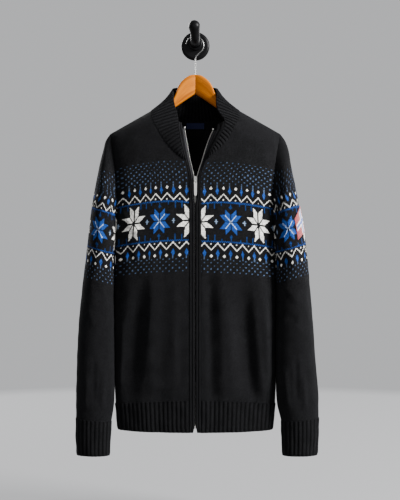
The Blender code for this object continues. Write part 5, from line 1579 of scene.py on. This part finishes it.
# %% [markdown]
# The slider is a casting: two plates round the teeth, wide at the top where the rows part and
# narrow below, joined by a wedge. A round bail stands on the front plate and holds the pull, a
# flat tab with an eye that swings on it.
# %% The slider and its pull
def zip_depth(z):
    return float(tooth_line(np.array([z]), 1)[0, 1])


def plate_sections(outline, front, back, bevel):
    """A flat plate as sections along Y: its outline (n, 2) in x and z, drawn in at both faces."""
    middle = outline.mean(axis=0)
    small = middle + (outline - middle) * (1 - bevel / np.abs(outline - middle).max())
    levels = [(front, small), (front + bevel, outline), (back - bevel, outline), (back, small)]
    return np.stack([spread(ring[:, 0], y, ring[:, 1]) for y, ring in levels])


def squarish(count, power):
    """A superellipse: even angles' cosines and sines to the power 2 / power, signs kept."""
    angle = full_turn(count)
    return [np.sign(part) * np.abs(part) ** (2 / power) for part in (np.cos(angle), np.sin(angle))]


def round_box(half_wide, top, end, power, count, narrow=1.0):
    """A superellipse outline between two heights, narrower at its foot, round the slider's line."""
    x, z = squarish(count, power)
    width = half_wide * (1 + (narrow - 1) * (1 - z) / 2)
    return np.stack([x * width + SLIDER_X, (top + end) / 2 + (top - end) / 2 * z], axis=1)


def joined(parts):
    """Several lofted parts as one set of points and sheets, caps included."""
    points = np.concatenate([sections.reshape(-1, 3) for sections in parts])
    sheets, start = [], 0
    for sections in parts:
        sheets += [from_front(points, group + start) for group in loft(sections)]
        start += sections[..., 0].size
    return points, sheets


def tube_sections(route, radii, count):
    """Round sections along a route, each square to it."""
    ahead = unit(np.gradient(route, axis=0))
    side_way = np.array([0.0, 1.0, 0.0] if np.ptp(route[:, 1]) < 1e-9 else [1.0, 0.0, 0.0])
    side_way = unit(side_way - ahead * np.sum(ahead * side_way, axis=1, keepdims=True))
    above = np.cross(ahead, side_way)
    angle = full_turn(count)[:, None]
    ring = np.cos(angle) * side_way[:, None] + np.sin(angle) * above[:, None]
    return route[:, None] + radii[:, None, None] * ring


depth = (zip_depth(SLIDER_END_Z) + zip_depth(SLIDER_TOP_Z)) / 2
front, back = depth - SLIDER_SLOT / 2, depth + SLIDER_SLOT / 2
outline = round_box(SLIDER_HALF_WIDTH, SLIDER_TOP_Z, SLIDER_END_Z, 3.2, 40, 0.72)
wedge = round_box(WEDGE_HALF_WIDTH, SLIDER_TOP_Z, SLIDER_TOP_Z - 0.004, 2.5, 16)
pivot_z = (SLIDER_TOP_Z + SLIDER_END_Z) / 2 - BAIL_DROP
plate_front = front - SLIDER_PLATE
pivot_y = plate_front - PULL_RIM / 2 - PULL_GAP
angle = np.radians(np.linspace(-100, 100, 21))
bail_y = pivot_y - BAIL_RADIUS * np.cos(angle)
bail_z = pivot_z + BAIL_RADIUS * np.sin(angle)
root_y = plate_front + BAIL_ROOT
bail = spread(
    SLIDER_X,
    np.concatenate([[root_y], bail_y, [root_y]]),
    np.concatenate([bail_z[:1], bail_z, bail_z[-1:]]),
)
points, sheets = joined([
    plate_sections(outline, plate_front, front, 0.0004),
    plate_sections(outline, back, back + SLIDER_PLATE, 0.0004),
    plate_sections(wedge, plate_front + 0.0005, back + 0.0005, 0.0001),
])
put_mesh("slider_cast", points, sheets, SHADED_SLIDER_FINISH, ["zip_slider"], sharp=40.0)
points, sheets = joined([tube_sections(bail, np.full(len(bail), BAIL_WIRE), 10)])
put_mesh("slider_bail", points, sheets, ZIP_FINISH, sharp=40.0)


def pull_tab():
    """A rounded tab between two faces with an eye through it, from an outline and a hole."""
    top = pivot_z + PULL_RIM / 2
    tab = round_box(PULL_WIDTH / 2, top, top - PULL_LENGTH, 6.0, PULL_POINTS, 0.86)
    eye_top = pivot_z - PULL_RIM / 2
    eye = round_box(PULL_EYE_HALF_WIDTH, eye_top, eye_top - PULL_EYE_TALL, 2.4, PULL_POINTS)
    near, far = pivot_y - PULL_THICK / 2, pivot_y + PULL_THICK / 2
    inner_tab = tab + unit(tab.mean(axis=0) - tab) * PULL_SOFT
    wide_eye = eye + unit(eye - eye.mean(axis=0)) * PULL_SOFT
    rings = [
        (eye, far - PULL_SOFT), (eye, near + PULL_SOFT), (wide_eye, near), (inner_tab, near),
        (tab, near + PULL_SOFT), (tab, far - PULL_SOFT), (inner_tab, far), (wide_eye, far),
    ]
    grid = np.stack([spread(ring[:, 0], y, ring[:, 1]) for ring, y in rings])
    index = np.arange(grid[..., 0].size).reshape(grid.shape[:2])
    points = grid.reshape(-1, 3)
    return points, [from_front(points, squares(closed(np.concatenate([index, index[:1]]))))]


points, sheets = pull_tab()
put_mesh(
    "pull_metal", points, sheets, ZIP_FINISH, ["zip_pull"], sharp=40.0, body_name="pull_tab"
)

# %% [markdown]
# The hanger is cut from a board in two arms that meet in a mitre under the wire. Its edges are
# rounded over all along. Each section across an arm is a superellipse, 14 mm thick.
# %% The wooden hanger
def varnished_wood():
    """Honey wood: rings of a slowly bending grain, darker pores along it, and varnish on top."""
    finish, tree, shader = new_finish(
        "honey varnished wood", 0.45, Coat_Weight=0.03, Coat_Roughness=0.25, Specular_IOR_Level=0.05
    )
    flat = on_cloth(tree)[0]
    grain, pores = (
        noise(tree, add_node(tree, "Mapping", {}, Vector=flat, Scale=scale).outputs[0], 1.0, detail)
        for scale, detail in (((9.0, 160.0, 1.0), 5.0), ((60.0, 1500.0, 1.0), 3.0))
    )
    colours = add_node(tree, "ValToRGB", {}, Fac=grain)
    stops = colours.color_ramp.elements
    stops.new(0.50)
    honey = ((0.20, 0.050, 0.0010, 1.0), (0.31, 0.088, 0.0016, 1.0), (0.38, 0.115, 0.0025, 1.0))
    for stop, share, colour in zip(stops, (0.30, 0.50, 0.70), honey):
        stop.position, stop.color = share, colour
    tint(tree, shader, colours.outputs["Color"], scaled(tree, pores, 0.5, 0.72))
    raise_by(tree, shader, pores, 0.0002, 0.35)
    return finish


WOOD_FINISH = varnished_wood()
ARM_SECTIONS = 61
ARM_RING = 32
TIP_FROM_X = 0.172
MITRE_GAP = 0.00006
ARM = table(
    "x top_z end_z half_thick",
    (0.0000, -0.0690, -0.1130, 0.0070),
    (0.0100, -0.0705, -0.1192, 0.0070),
    (0.0200, -0.0758, -0.1262, 0.0070),
    (0.0295, -0.0842, -0.1330, 0.0070),
    (0.0375, -0.0955, -0.1388, 0.0070),
    (0.0430, -0.1110, -0.1428, 0.0070),
    (0.0500, -0.1250, -0.1480, 0.0070),
    (0.0620, -0.1370, -0.1572, 0.0070),
    (0.0800, -0.1515, -0.1712, 0.0070),
    (0.1000, -0.1640, -0.1862, 0.0070),
    (0.1200, -0.1722, -0.1975, 0.0070),
    (0.1400, -0.1840, -0.2090, 0.0070),
    (0.1620, -0.1978, -0.2220, 0.0068),
    (0.1760, -0.2070, -0.2290, 0.0056),
    (0.1820, -0.2140, -0.2270, 0.0036),
)


def arm_sections(side):
    """Sections of one arm, from the mitre outwards, the last ones closing to a round tip."""
    x = ARM[-1].x * np.linspace(0.0, 1.0, ARM_SECTIONS) ** 0.92
    top, end, half = (through(ARM, name, x) for name in ("top_z", "end_z", "half_thick"))
    past = (x - TIP_FROM_X) / (ARM[-1].x - TIP_FROM_X + 1e-4)
    tip = np.where(past > 0, np.sqrt(np.clip(1 - past**2, 0.02, 1.0)), 1.0)
    y, z = squarish(ARM_RING, 3.6)
    middle, tall = (top + end) / 2, (top - end) / 2 * tip
    grid = spread(
        side * (x + MITRE_GAP)[:, None],
        ridge(x)[0][:, None] + (half * tip)[:, None] * y,
        middle[:, None] + tall[:, None] * z,
    )
    around = np.linspace(0, 0.09, ARM_RING + 1)
    far = run_along(np.stack([x, middle], axis=1))[:, None]
    return grid, spread(side * far, around + 0.3 * (side > 0))


def put_hanger():
    """Both arms as one piece; the faces of the one on the viewer's right are turned round."""
    points, sheets, start = [], [], 0
    for side, _ in SIDES:
        grid, flat = arm_sections(side)
        faces, low_cap, high_cap = loft(grid)
        way = -side
        for group, uv in (
            (faces, squares(flat)), (low_cap, flat[:1, -2::-1]), (high_cap, flat[-1:, :-1])
        ):
            sheets.append((start + group[:, ::way], uv[:, ::way]))
        points.append(grid.reshape(-1, 3))
        start += grid[..., 0].size
    put_mesh("hanger_wood", np.concatenate(points), sheets, WOOD_FINISH, ["hanger"])


put_hanger()

# %% [markdown]
# The hook is one bent wire: up from the wood, round over the peg and down to a free end.
# %% The wire hook
WIRE = 0.00175
WIRE_DRAWN = 0.85
WIRE_Y = -0.0280
HOOK_X = -0.0010
HOOK_Z = -0.0025
HOOK_RADIUS = 0.0195
HOOK_SINK = 0.0150
HOOK_START = -48
HOOK_END = 168
HOOK_NECK = 0.0130
HOOK_NECK_PULL = 0.0080
HOOK_ARC_PULL = 0.0070


def wire_route():
    """The wire's middle line: the shank, a bend by a cubic curve of four places, and the arc."""
    neck_z = HOOK_Z - HOOK_RADIUS - HOOK_NECK
    angle = np.radians(np.linspace(HOOK_START, HOOK_END, 60))
    arc = spread(HOOK_X + HOOK_RADIUS * np.cos(angle), WIRE_Y, HOOK_Z + HOOK_RADIUS * np.sin(angle))
    start = np.array([0.0, WIRE_Y, neck_z])
    way_out = np.array([-np.sin(angle[0]), 0.0, np.cos(angle[0])])
    f = np.linspace(0.0, 1.0, 19)[:-1, None]
    bend = (
        (1 - f) ** 3 * start
        + 3 * f * (1 - f) ** 2 * (start + (0.0, 0.0, HOOK_NECK_PULL))
        + 3 * f**2 * (1 - f) * (arc[0] - HOOK_ARC_PULL * way_out)
        + f**3 * arc[0]
    )
    shank = spread(0.0, WIRE_Y, np.linspace(ARM[0].top_z - HOOK_SINK, neck_z, 6)[:-1])
    return np.concatenate([shank, bend, arc])


def put_tube(name, route, radii, count, finish, slot, replaces):
    """A round tube along a route, with its length and its girth as the UV."""
    sections = tube_sections(route, radii, count)
    around = np.linspace(0, 2 * np.pi * radii.max(), count + 1)
    flat = spread(around, run_along(route)[:, None])
    faces, *caps = loft(sections)
    sheets = [(faces, squares(flat))]
    sheets += [(cap, np.broadcast_to(flat[0, :1], (1, count, 2))) for cap in caps]
    put_mesh(name, sections.reshape(-1, 3), sheets, finish, replaces)


route = wire_route()
end_round = np.sqrt(1 - np.linspace(0, 0.96, 6) ** 2)[1:]
beyond = WIRE * np.linspace(0.2, 0.97, 5)[:, None]
route = np.concatenate([route, route[-1] + unit(route[-1] - route[-2]) * beyond])
radii = WIRE_DRAWN * WIRE * np.append(np.ones(len(route) - 5), end_round)
put_tube("hanger_hook_wire", route, radii, 20, WIRE_FINISH, "wire", ["hanger_hook"])

# %% [markdown]
# The wall hook is cast iron with a satin black coat: a domed plate and a ring, both turned, and a
# peg that leaves the ring, bends up and swells to a round knob. A turned form is its profile,
# radius against depth, swept round the Y axis.
# %% The wall hook
def black_iron():
    """Satin black coat over cast iron: a soft orange peel and a few dull patches."""
    finish, tree, shader = new_finish(
        "satin black iron", 0.40, 0.0, Coat_Weight=0.01, Coat_Roughness=0.3, Specular_IOR_Level=0.07
    )
    place = in_space(tree)
    dull = noise(tree, place, 60.0, 3.0)
    tint(tree, shader, (0.0022, 0.0022, 0.0025), scaled(tree, dull, 0.9, 0.6))
    tree.links.new(scaled(tree, dull, 0.25, 0.30), shader.inputs["Roughness"])
    raise_by(tree, shader, noise(tree, place, 700.0, 2.0), 0.0003, 0.3)
    return finish


HOOK_FINISH = black_iron()
PLATE_RADIUS = 0.0325
PLATE_THICK = 0.0080
PLATE_EDGE = 0.0015
PLATE_ROUND = 0.0075
BOSS_RADIUS = 0.0155
BOSS_END_Y = -0.0150
BOSS_ROUND = 0.0025
PEG_RADIUS = 0.0105
PEG_Z = 0.0044
PEG_STRAIGHT_END_Y = -0.0270
PEG_BEND_Y = -0.0370
PEG_BEND_RADIUS = 0.0230
PEG_BEND_ANGLE = 62
PEG_LEAN = 0.0008
PEG_WAY_X = -0.10
PEG_WAIST_REACH = 0.0060
PEG_NECK = 0.0180
PEG_WAIST = 0.98
PEG_SHOULDER = 1.05
KNOB_WIDE = 0.0122 * 1.08
TURNS = 96


def put_turned(node, profile, centre_z, ring=False):
    """A profile (n, 2) of radius and depth swept round; a ring's profile ends where it starts."""
    profile = np.asarray(profile)[:, :, None]
    angle = full_turn(TURNS)
    grid = spread(
        profile[:, 0] * np.cos(angle), profile[:, 1], centre_z + profile[:, 0] * np.sin(angle)
    )
    faces, *caps = loft(grid)
    points = grid.reshape(-1, 3)
    if ring:
        faces, points, caps = faces % (len(points) - TURNS), points[:-TURNS], []
    sheets = [from_front(points, group) for group in (faces, *caps)]
    put_mesh(node + "_iron", points, sheets, HOOK_FINISH, [node], sharp=35.0)


slope = np.radians(np.linspace(0, 90, 17))
dome = spread(
    PLATE_RADIUS - PLATE_ROUND * (1 - np.cos(slope)),
    -PLATE_EDGE - (PLATE_THICK - PLATE_EDGE) * np.sin(slope),
)
inside = [(radius, -PLATE_THICK) for radius in (0.022, 0.018, 0.012, 0.004)]
edge = [(0.010, 0.0), (PLATE_RADIUS - 0.0006, 0.0), (PLATE_RADIUS, -0.0006)]
put_turned("wall_plate", np.concatenate([edge, dome, inside]), 0.0)
root_y = -PLATE_THICK - SEAM
rounding = spread(
    BOSS_RADIUS - BOSS_ROUND * (1 - np.cos(slope)), BOSS_END_Y + BOSS_ROUND * (1 - np.sin(slope))
)
hole = PEG_RADIUS + SEAM
profile = np.concatenate([
    [(hole, root_y), (BOSS_RADIUS - 0.0003, root_y), (BOSS_RADIUS, root_y - 0.0003)], rounding,
    [(hole + 0.0003, BOSS_END_Y), (hole, BOSS_END_Y + 0.0003), (hole, root_y)],
])
put_turned("peg_boss", profile, PEG_Z, ring=True)


def peg_route():
    """Places and radii along the peg: straight, round the bend, then the waist and the knob."""
    straight = spread(0.0, np.linspace(root_y, PEG_STRAIGHT_END_Y, 8), PEG_Z)
    angle = np.radians(np.linspace(0, PEG_BEND_ANGLE, 22))
    bend = spread(
        -PEG_LEAN * (1 - np.cos(angle)),
        PEG_BEND_Y - PEG_BEND_RADIUS * np.sin(angle),
        PEG_Z + PEG_BEND_RADIUS * (1 - np.cos(angle)),
    )
    way = unit(np.array([PEG_WAY_X, -np.cos(angle[-1]), np.sin(angle[-1])]))
    ball = np.radians(np.linspace(4, 86, 15))
    knob = KNOB_WIDE / PEG_RADIUS
    reach = np.linspace(0.002, PEG_NECK, 7)
    waist = np.interp(reach, [0.0, PEG_WAIST_REACH, PEG_NECK], [PEG_WAIST, PEG_SHOULDER, knob])
    reach = np.concatenate([reach, PEG_NECK + KNOB_WIDE * np.sin(ball)])[:, None]
    radii = [np.ones(8), np.linspace(1.0, PEG_WAIST, 22), waist, knob * np.cos(ball)]
    route = np.concatenate([straight, bend, bend[-1] + reach * way])
    return route, PEG_RADIUS * np.concatenate(radii)


put_tube("wall_peg_iron", *peg_route(), 48, HOOK_FINISH, "hook", ["wall_peg"])

# %% [markdown]
# Two small trims stay: the label inside the neck, bare, and a sewn flag on the outer side of the
# wearer's left sleeve. The flag is a red field with a white-edged blue cross, drawn by distances
# from its two bars, and a stitched border runs round it.
# %% The neck label and the flag patch
LABEL_HALF_WIDTH = 0.0200
LABEL_TOP_Z = -0.1765
LABEL_END_Z = -0.1900
LABEL_GAP = 0.0006
PATCH_TURN = (66, -22)
PATCH_ALONG = (0.262, 0.352)
PATCH_GAP = 0.0005


RED_THREAD = (0.18, 0.006, 0.009)
WHITE_THREAD = (0.50, 0.48, 0.47)
BLUE_THREAD = (0.022, 0.050, 0.230)
BACKING = 0.0005
BORDER_WIDE = 0.045


def label_sheet():
    """The label's near and far sides, just inside the back, and its UV."""
    x, z = np.meshgrid(
        np.linspace(-LABEL_HALF_WIDTH, LABEL_HALF_WIDTH, 41),
        np.linspace(LABEL_TOP_Z, LABEL_END_Z, 17),
    )
    across, down = locate(np.abs(x), z, False, 1)
    on_right = (x < 0)[..., None]
    back = np.where(on_right, body(across, down, False, -1), body(across, down, False, 1))
    far = back - (0.0, KNIT + LABEL_GAP, 0.0)
    return far - (0.0, TAPE_WALL, 0.0), far, spread(x, z)


cloth("neck_label", "label", LABEL_FINISH, *label_sheet())


def flag_patch():
    """The patch's grids, UV and colours: u runs along the flag, v up it, both 0 to 1."""
    turn, along = np.meshgrid(
        np.radians(np.linspace(*PATCH_TURN, 97)), np.linspace(*PATCH_ALONG, 73)
    )
    face, away = sleeve(turn, along, 1), -sleeve_inward(turn, along, 1)
    near = face + (PATCH_GAP + 0.0004) * away
    wide = np.linalg.norm(np.diff(face, axis=1), axis=2).sum(axis=1).mean()
    tall = np.linalg.norm(np.diff(face, axis=0), axis=2).sum(axis=0).mean()
    u, v = np.meshgrid(np.linspace(0, 1, 97), np.linspace(0, 1, 73))
    border = np.minimum(np.minimum(u, 1 - u) * wide / tall, np.minimum(v, 1 - v))
    raised = 0.0003 * (1 - smooth(np.abs(border - BORDER_WIDE) / 0.03))
    outer = near + (BACKING + 0.0004 * smooth(border / 0.05) + raised)[..., None] * away
    bar = np.minimum(np.abs(u - 0.40) * wide / tall, np.abs(v - 0.5))
    colours = np.empty(turn.shape + (3,))
    colours[:] = RED_THREAD
    colours[bar < 0.13] = WHITE_THREAD
    colours[bar < 0.065] = BLUE_THREAD
    colours[border < BORDER_WIDE] = RED_THREAD
    return outer, near, spread(u * wide, v * tall), colours


def stitched():
    """Satin stitch: shining threads laid side by side, in the colours painted on the patch, with
    painted shade between the threads.
    """
    finish, tree, shader = new_finish(
        "stitched flag", 0.5, Sheen_Weight=0.15, Specular_IOR_Level=0.35
    )
    _, across, along = on_cloth(tree)
    thread = maths(tree, "ABSOLUTE", wave(tree, scaled(tree, across, 0.35, along), 0.001))
    # painted shade: each thread is darker in the groove beside it and a little lighter on its crest
    tint(tree, shader, yarn_of(tree), scaled(tree, thread, 0.3, 0.78))
    raise_by(tree, shader, thread, 0.0002, 0.7)
    return finish


cloth("flag_patch", "patch", stitched(), *flag_patch())

# %% [markdown]
# A pale round floor lies just under the cardigan. It glows with most of the sky's own light, and
# with all of it towards the rim, so that no edge is seen.
# %% The floor
FLOOR_Z = -1.06
FLOOR_PAINT = (0.50, 0.50, 0.51)
EVEN = 0.80


def put_floor():
    """A disc of thirteen rings, left out of the model."""
    angle = full_turn(128)
    radii = np.linspace(0.05, 3.0, 13)[:, None]
    grid = spread(radii * np.cos(angle), radii * np.sin(angle), FLOOR_Z)
    faces, low_cap, _ = loft(grid)
    mesh = bpy.data.meshes.new("floor")
    rings = faces[:, ::-1].tolist() + low_cap[:, ::-1].tolist()
    mesh.from_pydata(grid.reshape(-1, 3).tolist(), [], rings)
    finish, tree, shader = new_finish("pale floor", 0.9, Specular_IOR_Level=0.1)
    place = in_space(tree)
    tint(tree, shader, FLOOR_PAINT, scaled(tree, noise(tree, place, 90.0, 3.0), 0.06, 0.97))
    raise_by(tree, shader, noise(tree, place, 500.0, 2.0), 0.0003, 0.2)
    glow = add_node(tree, "Emission", {}, Color=PALE, Strength=SKY)
    parts = add_node(tree, "VectorMath", {"operation": "LENGTH"})
    feed(tree, parts.inputs[0], place)
    fade = maths(tree, "MAXIMUM", maths(tree, "SUBTRACT", parts.outputs["Value"], 1.5), EVEN)
    fade.node.use_clamp = True
    mix = add_node(tree, "MixShader", {}, Fac=fade)
    tree.links.new(shader.outputs[0], mix.inputs[1])
    tree.links.new(glow.outputs[0], mix.inputs[2])
    tree.links.new(mix.outputs[0], tree.nodes["Material Output"].inputs["Surface"])
    mesh.materials.append(finish)
    floor = bpy.data.objects.new("floor", mesh)
    bpy.context.scene.collection.objects.link(floor)


put_floor()
print("floor at", FLOOR_Z)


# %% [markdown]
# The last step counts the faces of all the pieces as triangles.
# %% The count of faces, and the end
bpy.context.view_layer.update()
faces = [len(face.vertices) for piece in PIECES.values() for face in piece.data.polygons]
print("faces as triangles:", sum(faces) - 2 * len(faces))
